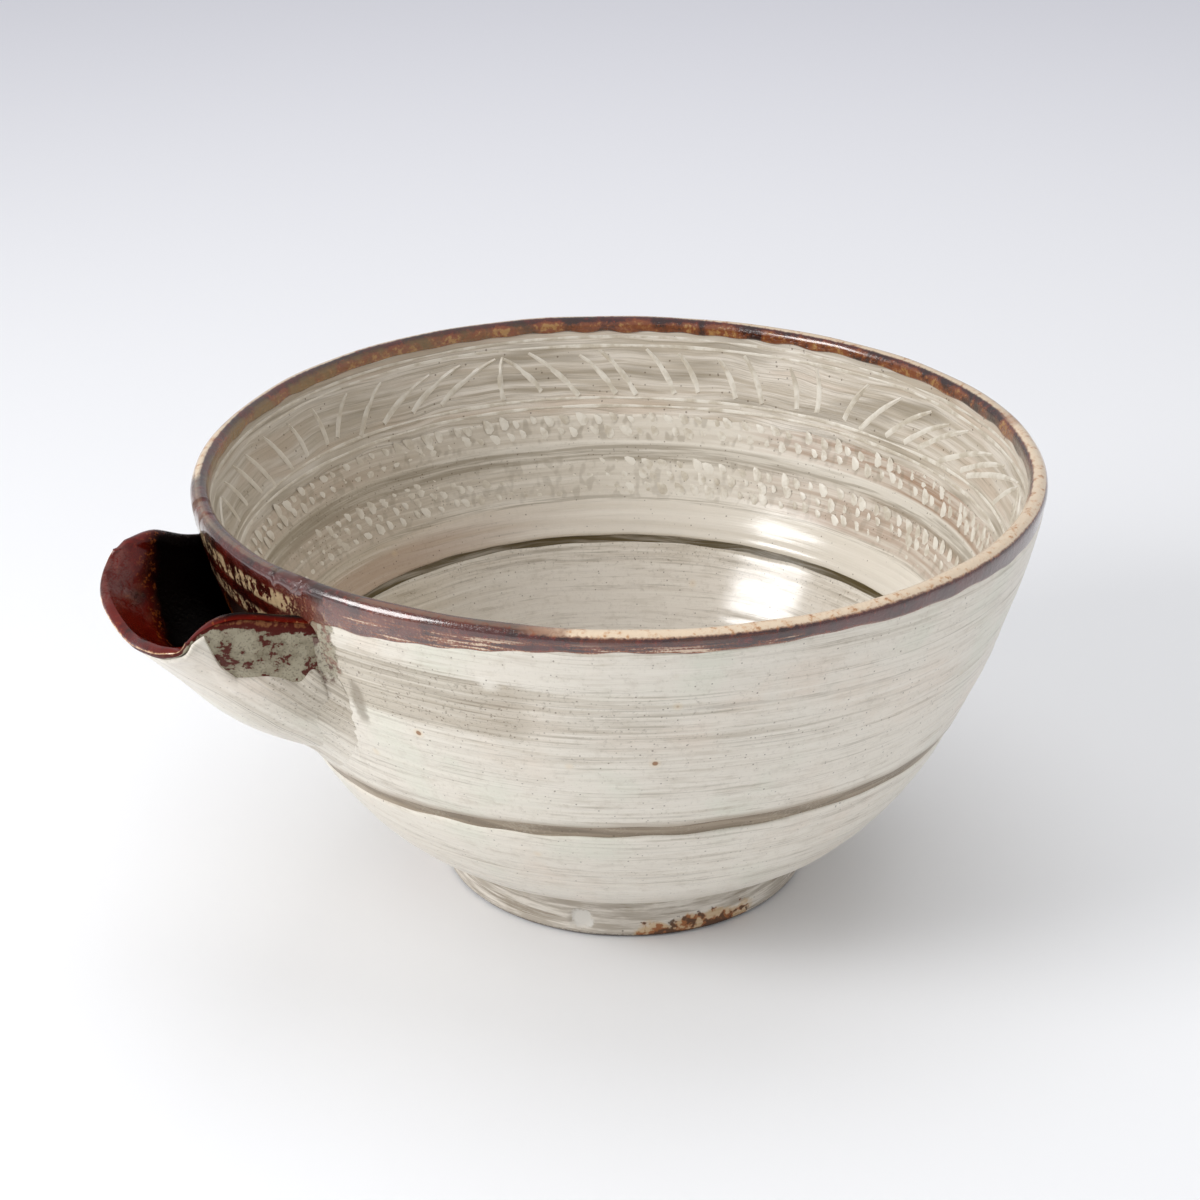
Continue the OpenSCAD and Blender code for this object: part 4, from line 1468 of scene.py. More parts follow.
@dataclass
class SlipCoats(PotWork):
    """Four coats of brushed slip: two outside, split by the groove, and two inside, split by the bare ring.

    By angle, seam_z is the height at which the spout leaves the wall and band_z that of the iron band's
    lower edge outside.
    """

    seam_z: Callable[[Array], Array]
    band_z: Callable[[Array], Array]
    ring_w: float = 1.3
    wall_top: float = 66.4
    pitch: float = 0.62

    def build(self) -> None:
        """Lays all four coats."""
        self._upper()
        self._lower()
        self._wall()
        self._well()

    @staticmethod
    def _relief(seed: int, depth: float) -> Relief:
        """Brush ridges and slow swells of a coat.

        Args:
            seed: Start of the random draws.
            depth: Height of the ridges in millimetres.

        Returns:
            A height by angle and run.
        """
        ridges = HandNoise(seed=seed, turns=5, pitch=1.6, waves=18)
        swells = HandNoise(seed=seed + 1, turns=6, pitch=14.0, waves=12)

        def height(theta: Array, run: Array) -> Array:
            """Height of the coat above the finished face."""
            return depth * ridges.at(theta, run) + 1.6 * depth * swells.at(theta, run)

        return height

    def _upper(self) -> None:
        """The coat above the groove, which stops under the iron band and round the spout."""
        brush = HandNoise(seed=31, turns=40).at(THETA)
        start = self.skin.run_outside(self.groove.height(THETA)) + self.groove.width / 2 + 0.22 * brush
        stop = self.skin.run_outside(np.minimum(self.band_z(THETA) + 0.6, self.seam_z(THETA)))
        rows, runs = self.skin.coat(start, stop, self.pitch, self._relief(41, 0.05), edge=1.5)
        hem = [run - start for run in runs]
        coat = self.shop.round_body("upper_hakeme", rows, closed=True, marks={"hem": hem})
        dress(coat, BrushedSlip(SlipPlace.OUTSIDE).material(), "white_slip", "outer_slip_upper")

    def _lower(self) -> None:
        """The coat from the foot up to the groove, rolled at its lower edge."""
        brush = HandNoise(seed=37, turns=36).at(THETA)
        start = 0.4 + 0.25 * np.abs(brush)
        stop = self.skin.run_outside(self.groove.height(THETA)) - self.groove.width / 2 + 0.25 * brush
        rows, runs = self.skin.coat(start, stop, self.pitch, self._relief(47, 0.06), edge=1.3)
        hem = [3.0 + stop - run for run in runs]
        coat = self.shop.round_body("lower_hakeme", rows, closed=True, marks={"hem": hem})
        finish = BrushedSlip(SlipPlace.OUTSIDE, seed_shift=57.0)
        dress(coat, finish.material(), "white_slip", "outer_slip_lower")

    def _wall(self) -> None:
        """The coat inside, from under the lower pair of lines down to the bare ring."""
        brush = HandNoise(seed=53, turns=40)
        radius = float(self.skin.outside_radius(self.hole.z)) - self.wall.wall_t
        top = np.minimum(self.hole.edge(THETA, radius, -1.0, self.wall_top) - 0.6, self.wall_top)
        start = self.skin.run_inside(top) + 0.2 * brush.at(THETA)
        stop = self.skin.run_inside(self.wall.ring_z + self.ring_w / 2) + 0.08 * brush.at(THETA + 1.0)
        rows, _ = self.skin.coat(start, stop, self.pitch, self._relief(59, 0.06))
        coat = self.shop.round_body("wall_hakeme", rows, closed=True)
        finish = BrushedSlip(SlipPlace.INSIDE, seed_shift=113.0, rough=0.16, relief=0.10)
        dress(coat, finish.material(), "white_slip", "inner_slip_wall")

    def _well(self) -> None:
        """The coat in the well, from the bare ring to the middle."""
        brush = HandNoise(seed=61, turns=30).at(THETA)
        start = self.skin.run_inside(self.wall.ring_z - self.ring_w / 2) + 0.10 * brush
        stop = np.full(COLUMNS, self.skin.end - 0.7)
        relief = self._relief(67, 0.05)
        thick = self.wall.coat_t
        rows = []
        for part in (0.0, 0.0015, 0.004, 0.008, *np.linspace(0.0125, 1.0, 84)):
            run = start + (stop - start) * part
            inset = np.clip((run - start) / 0.8, 0, 1)
            swell = np.sqrt(1 - (1 - inset) ** 2)
            flat = smooth(stop - run, 0.0, 6.0)
            offset = (thick + relief(THETA, run) * flat) * swell - thick - 0.05 * (1 - swell)
            rows.append(self.skin.place(THETA, run, offset))
        rows += [self.skin.place(np.zeros(1), self.skin.end, offset) for offset in (0.0, -thick - BURIED)]
        rows += [self.skin.coat_row(start, stop, part) for part in np.linspace(1, 0, 24)]
        coat = self.shop.round_body("well_hakeme", rows, closed=True)
        finish = BrushedSlip(SlipPlace.WELL, seed_shift=171.0, rough=0.13, relief=0.08)
        dress(coat, finish.material(), "white_slip", "inner_slip_well")


@dataclass
class IronRim(PotWork):
    """The band of iron glaze over the lip, which runs down the wall inside the spout's channel.

    It comes down by band_out outside and by band_in inside, and beside the pour hole to trough_z.
    """

    band_out: float = 4.6
    band_in: float = 3.0
    trough_half: float = 17.0
    trough_soft: float = 3.5
    trough_z: float = 55.0
    pitch: float = 0.32
    fringe: float = 2.2

    def lower_edge(self, theta: Array) -> Array:
        """Height of the band's lower edge outside, away from the spout.

        Args:
            theta: Angles round the bowl in radians.

        Returns:
            A height for each angle.
        """
        brush = HandNoise(seed=71, turns=60, waves=22)
        slow = HandNoise(seed=73, turns=7)
        narrow = turned_window(theta, -112.0, 66.0)
        wide = turned_window(theta, -157.0, 34.0)
        low = self.wall.bowl_h - self.band_out + 0.9 * narrow - 2.6 * wide
        return low + 0.22 * brush.at(theta) + 0.30 * slow.at(theta) * (1 - 0.6 * narrow)

    def build(self) -> None:
        """Lays the band over the lip."""
        brush = HandNoise(seed=75, turns=60, waves=22)
        slow = HandNoise(seed=77, turns=7)
        swell = HandNoise(seed=79, turns=24, pitch=5.0)
        low = self.lower_edge(THETA)
        radius = float(self.skin.outside_radius(self.hole.z))
        beside = self.hole.edge(THETA, radius, 1.0, self.trough_z) + 0.5
        ends = np.radians([self.trough_half - self.trough_soft, self.trough_half])
        in_trough = 1 - smooth(np.abs(off_turn(THETA, SPOUT_TURN)), *ends)
        start = self.skin.run_outside(low + (np.minimum(beside, low) - low) * in_trough)
        inner = self.wall.bowl_h - self.band_in + 0.18 * brush.at(THETA) + 0.25 * slow.at(THETA)
        stop = self.skin.run_inside(inner)
        rows, runs = self.skin.coat(start, stop, self.pitch, lambda t, r: 0.06 * swell.at(t, r), edge=0.6)
        lip = [run - self.skin.crown for run in runs]
        fringe = [1 - np.clip((run - start) / self.fringe, 0, 1) for run in runs]
        band = self.shop.round_body("iron_rim", rows, closed=True, marks={"lip": lip, "fringe": fringe})
        dress(band, IronGlaze("iron_rim_glaze", on_rim=True).material(), "iron_glaze", "rim_iron_band")


@dataclass
class PouringSpout(PotWork):
    """The spout: a pulled slab luted to the wall, glazed inside and slipped under its keel.

    A place s runs from 0 where the keel leaves the wall to 1 at the lip, and an angle a goes across from
    the near edge to the far one. The lip's far and near corners stand back by set_back and near_back. From
    tilt_start on its near corner hangs lower by lip_tilt and near_fall, and its far edge curls up by
    far_lift. The slip ends at slip_z on the sides and reaches the edge past wipe_s.
    """

    reach: float = 22.5
    lip_w: float = 40.0
    root_w: float = 52.0
    drop: float = 5.0
    sag: float = 5.0
    lip_depth: float = 9.0
    set_back: float = 5.2
    near_back: float = 3.9
    front_power: float = 1.25
    lip_tilt: float = 0.6
    tilt_start: float = 0.75
    near_fall: float = 1.9
    far_lift: float = 1.6
    keel_z: float = 42.0
    keel_belly: float = 3.0
    slab_t: float = 3.6
    slab_run: float = 34.0
    seam_w: float = 4.4
    slip_z: float = 69.2
    slip_t: float = 0.4
    wipe_s: float = 0.72
    edge_points: int = 7
    across: int = 61
    uneven: float = 0.22
    wobble: HandNoise = HandNoise(seed=83, turns=5, pitch=1.1)

    def __post_init__(self) -> None:
        """Works out the places that the formulas share."""
        self.edge_z = self.wall.bowl_h - self.drop
        self.root_u = float(self.skin.outside_radius(self.keel_z, -self.wall.coat_t))
        self.lip_u = self.wall.rim_r + self.reach - self.slab_t / 2
        self.lip_keel_z = self.edge_z - self.lip_depth - self.slab_t / 2

    def half_width(self, s: Array) -> Array:
        """Half width of the slab's middle at each place along it."""
        return (self.lip_w - self.slab_t) / 2 + (self.root_w - self.lip_w) / 2 * (1 - s) ** 2

    def side_z(self, s: Array) -> Array:
        """Height of the side edges at each place along the slab."""
        return self.edge_z - self.slab_t / 2 - self.sag * (1 - s) ** 2

    def half_slab(self, s: Array) -> Array:
        """Half the slab's thickness, which the potter pinched thinner towards the lip."""
        return self.slab_t / 2 * (1 - 0.38 * smooth(s, 0.35, 1.0))

    def hang(self, s: Array, a: Array) -> Array:
        """How far the hand-pulled lip hangs down.

        Args:
            s: Places along the slab.
            a: Angles across it in radians.

        Returns:
            Distances in millimetres.
        """
        tip = np.maximum(s - self.tilt_start, 0) / (1 - self.tilt_start)
        near = np.clip(-np.sin(a), 0, 1) ** 6 * tip ** 3
        far = np.clip(np.sin(a), 0, 1) ** 4 * smooth(s, 0.3, 0.82) * (1 - 0.7 * smooth(s, 0.92, 1.0))
        return self.lip_tilt * (1 - np.sin(a)) / 2 * tip ** 2 + self.near_fall * near - self.far_lift * far

    def depth(self, s: Array) -> Array:
        """Depth of the channel.

        Args:
            s: Places along the slab.

        Returns:
            A depth for each place.
        """
        belly = 4 * self.keel_belly * np.maximum(s, 0) * (1 - s)
        keel = self.keel_z + (self.lip_keel_z - self.keel_z) * s - belly
        return self.side_z(s) - keel - self.slab_t / 2

    def point(self, s: Array, a: Array, offset: Array | float, roll: Array | float = 0.0) -> Array:
        """A point on the slab.

        Args:
            s: Place along it, 0 at the keel's root and 1 at the lip.
            a: Angle across it in radians, 0 at the keel.
            offset: Distance out from its middle.
            roll: Distance towards the side edge.

        Returns:
            Points in millimetres.
        """
        wide, deep = self.half_width(s), self.depth(s)
        normal = unit_rows(np.stack(np.broadcast_arrays(np.sin(a) / wide, -np.cos(a) / deep), axis=-1))
        out, up = normal[..., 0], normal[..., 1]
        corner = self.set_back + (self.near_back - self.set_back) * (1 - np.sin(a)) / 2
        front = self.lip_u - corner * (1 - np.cos(a)) ** self.front_power
        u = self.root_u + (front - self.root_u) * s
        lift = offset + self.uneven * self.wobble.at(2.2 * a, s)
        y = wide * np.sin(a) + lift * out - roll * up
        z = self.side_z(s) - deep * np.cos(a) - self.hang(s, a) + lift * up + roll * out
        return np.stack(np.broadcast_arrays(-u, y, z), axis=-1)

    def seam(self, a: Array, offset: float) -> Array:
        """Place along the slab at which a face comes out of the raw wall, by halving.

        Args:
            a: Angles across in radians.
            offset: Distance of the face from the slab's middle.

        Returns:
            A place along the slab for each angle.
        """
        low, high = np.full_like(a, -0.35), np.ones_like(a)
        for _ in range(22):
            mid = (low + high) / 2
            point = self.point(mid, a, offset)
            wall_r = self.skin.outside_radius(point[:, 2], -self.wall.coat_t)
            clear = np.hypot(point[:, 0], point[:, 1]) - wall_r
            low, high = np.where(clear < 0, mid, low), np.where(clear < 0, high, mid)
        return low

    def seam_heights(self, theta: Array) -> Array:
        """Height at which the slip on the wall has to stop under the spout.

        Args:
            theta: Angles round the bowl in radians.

        Returns:
            A height for each angle, far above the rim away from the spout.
        """
        above = 200.0
        a = np.radians(np.linspace(-86, 86, 87))
        path = self.point(self.seam(a, self.slab_t / 2), a, self.slab_t / 2)
        turn = np.arctan2(path[:, 1], -path[:, 0])
        away = -off_turn(theta, SPOUT_TURN)
        order = np.argsort(turn)
        height = np.interp(away, turn[order], path[order, 2], left=above, right=above)
        return np.where(np.abs(away) < turn.max(), height - 0.4, above)

    def build(self) -> None:
        """Makes the slab, its lining, the fillet round its seam and the slip under its keel."""
        self._slab()
        self._lining()
        self._fillet()
        self._keel_slip()

    def _stations(self) -> list[tuple[float, float]]:
        """Shares of the way from the wall to the lip, each with its angle round the lip's edge in radians."""
        rounding = np.radians([12, 24, 36, 48, 60, 70, 78, 84])
        return [(share, 0.0) for share in np.linspace(0, 1, 64)] + [(1.0, angle) for angle in rounding]

    def _slab_ring(self, share: float, round_lip: float, grow: float) -> tuple[Array, Array]:
        """One ring round the slab: its outside, an edge, its inside and the other edge.

        Args:
            share: Share of the way from the wall to the lip.
            round_lip: Angle round the lip's edge in radians.
            grow: How much thicker than the slab the ring is, on each face.

        Returns:
            The ring's points, and how near each is to an edge.
        """
        a = np.radians(np.linspace(-90, 90, self.across))
        thick = self.half_slab(share) + grow
        tip = 0.65 * smooth(share, 0.7, 1.0)
        thin = 1 - tip * np.abs(np.sin(a)) ** 6
        thin_ends = np.full(self.edge_points, 1 - tip)
        half = thick * math.cos(round_lip)
        bulge = half * (1 - 0.9 * smooth(share, 0.55, 1.0))
        turns = np.linspace(0, math.pi, self.edge_points + 2)[1:-1]
        ends = np.full(self.edge_points, math.pi / 2)
        outer = self.seam(a, self.slab_t / 2) - 0.05
        inner = self.seam(a, -self.slab_t / 2) - 0.05
        blend = (1 - np.cos(turns)) / 2

        def along(first: Array) -> Array:
            """Place along the slab for a share of the way from the wall."""
            return first + (1 - first) * share

        def side(column: int, way: float) -> Array:
            """Points round the side edge at a column, on the way's side."""
            s = along(outer[column] + (inner[column] - outer[column]) * blend)
            return self.point(s, way * ends, half * thin_ends * np.cos(turns), way * bulge * np.sin(turns))

        ring = np.concatenate([
            self.point(along(outer), a, half * thin),
            side(-1, 1.0),
            self.point(along(inner)[::-1], a[::-1], -half * thin[::-1]),
            side(0, -1.0)[::-1],
        ])
        below = np.where(a < 0, ring[0, 2], ring[self.across - 1, 2]) - ring[:self.across, 2]
        push = thick * math.sin(round_lip)
        ring[:, 0] -= push * np.concatenate([thin, thin_ends, thin[::-1], thin_ends])
        rolled = np.ones(self.edge_points)
        near_edge = np.concatenate([0.7 * np.clip(1 - below, 0, 1), rolled, np.zeros(self.across), rolled])
        return ring, np.maximum(near_edge, math.sin(round_lip))

    def _slab(self) -> None:
        """The slab itself."""
        rings, rubs = zip(*(self._slab_ring(share, angle, 0.0) for share, angle in self._stations()))
        marks = {"rub": np.array(rubs)}
        slab = self.shop.patch_body("pulled_spout", np.array(rings), self.across, self.edge_points, marks)
        dress(slab, SpoutClay().material(), "raw_clay", "spout")

    @staticmethod
    def _there_and_back(fronts: list[Array], backs: list[Array]) -> Array:
        """Rings that each go along a coat's front and return along its back."""
        return np.concatenate([np.array(fronts), np.array(backs)[:, ::-1]], axis=1)

    def _lining(self) -> None:
        """The iron glaze inside the channel and over its edges and lip."""
        first = self.across + self.edge_points // 4
        last = 2 * self.across + self.edge_points + (3 * self.edge_points) // 4 + 1
        from_end = np.minimum(np.arange(last - first), np.arange(last - first)[::-1])
        fronts, backs, rubs = [], [], []
        for share, round_lip in self._stations():
            fronts.append(self._slab_ring(share, round_lip, self.slip_t)[0][first:last])
            backs.append(self._slab_ring(share, round_lip, -self.slip_t / 2)[0][first:last])
            tip = smooth(round_lip, math.radians(50), math.radians(84))
            rub = np.maximum(0.5 * np.clip(1 - from_end / 2.5, 0, 1), tip)
            rubs.append(np.concatenate([rub, rub[::-1]]))
        rings = self._there_and_back(fronts, backs)
        lining = self.shop.patch_body("iron_channel", rings, last - first, marks={"rub": np.array(rubs)})
        glaze = IronGlaze("iron_channel_glaze", on_rim=False, rough=0.15)
        dress(lining, glaze.material(), "iron_glaze", "spout_iron_lining")

    def _fillet(self) -> None:
        """Soft clay wiped into the corner between the spout and the wall."""
        a = np.radians(np.linspace(-88, 88, 121))
        base = self.seam(a, self.slab_t / 2)
        seam = self.point(base, a, self.slab_t / 2)
        theta = np.arctan2(seam[:, 1], seam[:, 0])
        run = self.skin.run_outside(seam[:, 2])
        out = self.skin.place(theta, run, 1.0) - self.skin.place(theta, run, 0.0)
        side = unit_rows(np.cross(unit_rows(np.gradient(seam, axis=0)), out))
        channel = np.array([seam[len(a) // 2, 0], 0, 75.0])
        side *= np.sign(np.einsum("ij,ij->i", side, seam - channel))[:, None]
        uneven = 1 + 0.18 * HandNoise(seed=89, turns=9).at(a)
        width = self.seam_w * np.sqrt(np.clip(np.cos(a), 0.05, 1)) * uneven
        foot = seam + side * width[:, None]
        foot_theta = np.arctan2(foot[:, 1], foot[:, 0])
        foot_run = self.skin.run_outside(foot[:, 2])
        top = base + width / self.slab_run
        high = self.point(top, a, self.slab_t / 2 + 0.3)
        rings = []
        for part in np.linspace(0, 1, 13):
            low = self.skin.place(foot_theta, foot_run, 0.08 * math.sin(math.pi * part) - 0.1)
            bend = seam + 0.25 * (low + high - 2 * seam)
            rings.append((1 - part) ** 2 * low + 2 * part * (1 - part) * bend + part ** 2 * high)
        rings.append(self.point(top, a, self.slab_t / 2 - 0.6))
        rings.append(seam - 0.8 * unit_rows(out))
        rings.append(self.skin.place(foot_theta, foot_run, -0.8))
        fillet = self.shop.patch_body("luted_seam", np.stack(rings, axis=1), len(rings) // 2)
        finish = BrushedSlip(SlipPlace.SEAM, seed_shift=23.0, rough=0.34, relief=0.25)
        dress(fillet, finish.material(), "white_slip", "spout_seam_coil")

    def _keel_slip(self) -> None:
        """The slip brushed under the keel, which leaves the upper sides bare but for a wiped band."""
        ragged = HandNoise(seed=97, turns=6, waves=10)
        brush = HandNoise(seed=101, turns=22, pitch=0.35)
        columns = np.linspace(0, 1, 97)
        from_side = np.minimum(columns, 1 - columns) * self.lip_w
        fronts, backs = [], []
        for share in np.linspace(0, 1, 90):
            s_mid = 0.3 + 0.7 * share
            level = self.slip_z + 1.3 * ragged.at(5.0 * share) + 2.0 * (share - 0.4)
            bare = np.arccos(np.clip((self.side_z(s_mid) - level) / self.depth(s_mid), 0.1, 1))
            wiped = np.clip((s_mid - self.wipe_s) / 0.2, 0, 1)
            near = bare + (math.radians(87) - bare) * wiped
            far = bare + (math.radians(84) - bare) * np.clip((s_mid - self.wipe_s) / 0.26, 0, 1) + 0.05
            a = -near + (near + far) * columns
            first = self.seam(a, self.slab_t / 2) + 0.05
            s = first + (0.985 - first) * share
            inset = np.minimum(from_side, min(share, 1 - share) * self.slab_run)
            swell = np.sqrt(1 - (1 - np.clip(inset / 0.8, 0, 1)) ** 2)
            strokes = 0.10 * brush.at(a, s) + 0.7 * np.exp(-((columns - 0.055) / 0.04) ** 2) * (1 - wiped)
            face = self.half_slab(s)
            fronts.append(self.point(s, a, face - 0.06 + (self.slip_t + 0.06 + strokes) * swell))
            backs.append(self.point(s, a, face - 0.3))
        coat = self.shop.patch_body("keel_hakeme", self._there_and_back(fronts, backs), len(columns))
        finish = BrushedSlip(SlipPlace.KEEL, seed_shift=7.0, rough=0.32, relief=0.22)
        dress(coat, finish.material(), "white_slip", "spout_slip_coat")


@dataclass
class InlaidBands(PotWork):
    """White inlay inside the bowl: two pairs of lines, feather strokes between them and rows of rope dabs.

    The strokes change their slant at the directions in turns, and rope_gap parts upper rows from lower ones.
    """

    line_z: tuple[float, ...] = (81.8, 80.2, 69.2, 67.5)
    line_w: float = 0.65
    line_sunk: float = 0.33
    stroke_count: int = 64
    stroke_z: float = 74.7
    stroke_h: float = 9.4
    stroke_w: float = 1.4
    slant: float = 76.0
    turns: tuple[float, ...] = (-180.0, -140.0, -30.0, 80.0, 150.0, 180.0)
    rope_z: float = 65.0
    rope_rows: int = 5
    rope_pitch: float = 2.6
    rope_gap: float = 4.6
    rope_count: int = 124
    dab_size: tuple[float, float] = (3.1, 1.8)
    dab_slant: float = -34.0

    def build(self) -> None:
        """Makes the lines, the strokes and the dabs."""
        self._lines()
        self._strokes()
        self._rope()

    def _lines(self) -> None:
        """Four thin lines turned on the wheel."""
        points, faces, first = [], [], 0
        sunk = -self.line_sunk
        for number, height in enumerate(self.line_z):
            middle = self.skin.run_inside(height) + 0.22 * HandNoise(seed=103 + number, turns=9).at(THETA)
            half = self.line_w / 2 * (1 + 0.25 * HandNoise(seed=107 + number, turns=30).at(THETA))
            rows, _ = self.skin.coat(middle - half, middle + half, 0.2, lambda t, r: sunk, edge=0.2)
            for i in range(len(rows)):
                after = (i + 1) % len(rows)
                faces.extend(ring_faces(first + i * COLUMNS, first + after * COLUMNS, COLUMNS))
            points.extend(rows)
            first += len(rows) * COLUMNS
        lines = self.shop.piece("ring_inlay", np.concatenate(points), faces)
        self.hole.cut(self.shop, lines)
        dress(lines, InlaySlip("inlay_lines", 0.5).material(), "white_inlay", "inlay_ring_lines")

    def _profile(self) -> Piece:
        """Draws the inside of the wall from the lip down, in millimetres, for the node trees.

        Returns:
            The line.
        """
        runs = np.linspace(self.skin.crown, self.skin.run_inside(30.0), 160)
        points = self.skin.place(np.zeros(len(runs)), runs, 0.0)
        mesh = bpy.data.meshes.new("inner_profile")
        mesh.from_pydata(points.tolist(), [(i, i + 1) for i in range(len(runs) - 1)], [])
        obj = bpy.data.objects.new("inner_profile", mesh)
        bpy.context.scene.collection.objects.link(obj)
        return obj

    def _grow(self, name: str, tree: "WallScatter", values: dict[str, float]) -> Piece:
        """Runs a node tree on the wall's profile and keeps its result as a plain piece.

        Args:
            name: Name of the piece.
            tree: The node tree.
            values: Numbers for its inputs, by name.

        Returns:
            The new piece, warped as the bowl is.
        """
        carrier = self._profile()
        modifier = carrier.modifiers.new(name, "NODES")
        modifier.node_group = tree.group
        for label, value in values.items():
            modifier[tree.inputs[label]] = value
        depsgraph = bpy.context.evaluated_depsgraph_get()
        mesh = bpy.data.meshes.new_from_object(carrier.evaluated_get(depsgraph))
        carrier.modifiers.remove(modifier)
        bpy.data.objects.remove(carrier)
        co = np.empty(len(mesh.vertices) * 3, np.float32)
        mesh.vertices.foreach_get("co", co)
        placed = self.shop.warp.apply(co.reshape(-1, 3).astype(float)) * MM
        mesh.vertices.foreach_set("co", placed.astype(np.float32).ravel())
        mesh.name = name
        return self.shop.link(name, mesh)

    def _on_wall(self, z: float, thick: float) -> dict[str, float]:
        """Radius of the wall at a height, and how far down from the lip that is."""
        radius = float(self.skin.outside_radius(z)) - thick
        return {"Radius": radius, "Drop": float(self.skin.run_inside(z) - self.skin.crown)}

    def _strokes(self) -> None:
        """Curved strokes that lean one way and then the other."""
        material = InlaySlip("inlay_feathers", 0.35).material()
        tree = WallScatter("feather_strokes", material)
        tree.feathers(self.turns)
        strokes = self._grow("feather_inlay", tree, {
            **self._on_wall(self.stroke_z, self.wall.lip_t), "Count": self.stroke_count,
            "Length": self.stroke_h, "Width": self.stroke_w, "Slant": math.radians(self.slant),
            "Sunk": self.wall.coat_t, "Seed": 7,
        })
        dress(strokes, material, "white_inlay", "inlay_feather_strokes")

    def _rope(self) -> None:
        """Rows of small dabs rolled in with a knotted cord."""
        material = InlaySlip("inlay_rope", 0.6).material()
        tree = WallScatter("rope_dabs", material)
        tree.dabs()
        length, width = self.dab_size
        dabs = self._grow("rope_inlay", tree, {
            **self._on_wall(self.rope_z, self.wall.wall_t), "Count": self.rope_count, "Rows": self.rope_rows,
            "Length": length, "Width": width, "Slant": math.radians(self.dab_slant), "Pitch": self.rope_pitch,
            "Gap": self.rope_gap, "Seed": 19,
        })
        dress(dabs, material, "white_inlay")


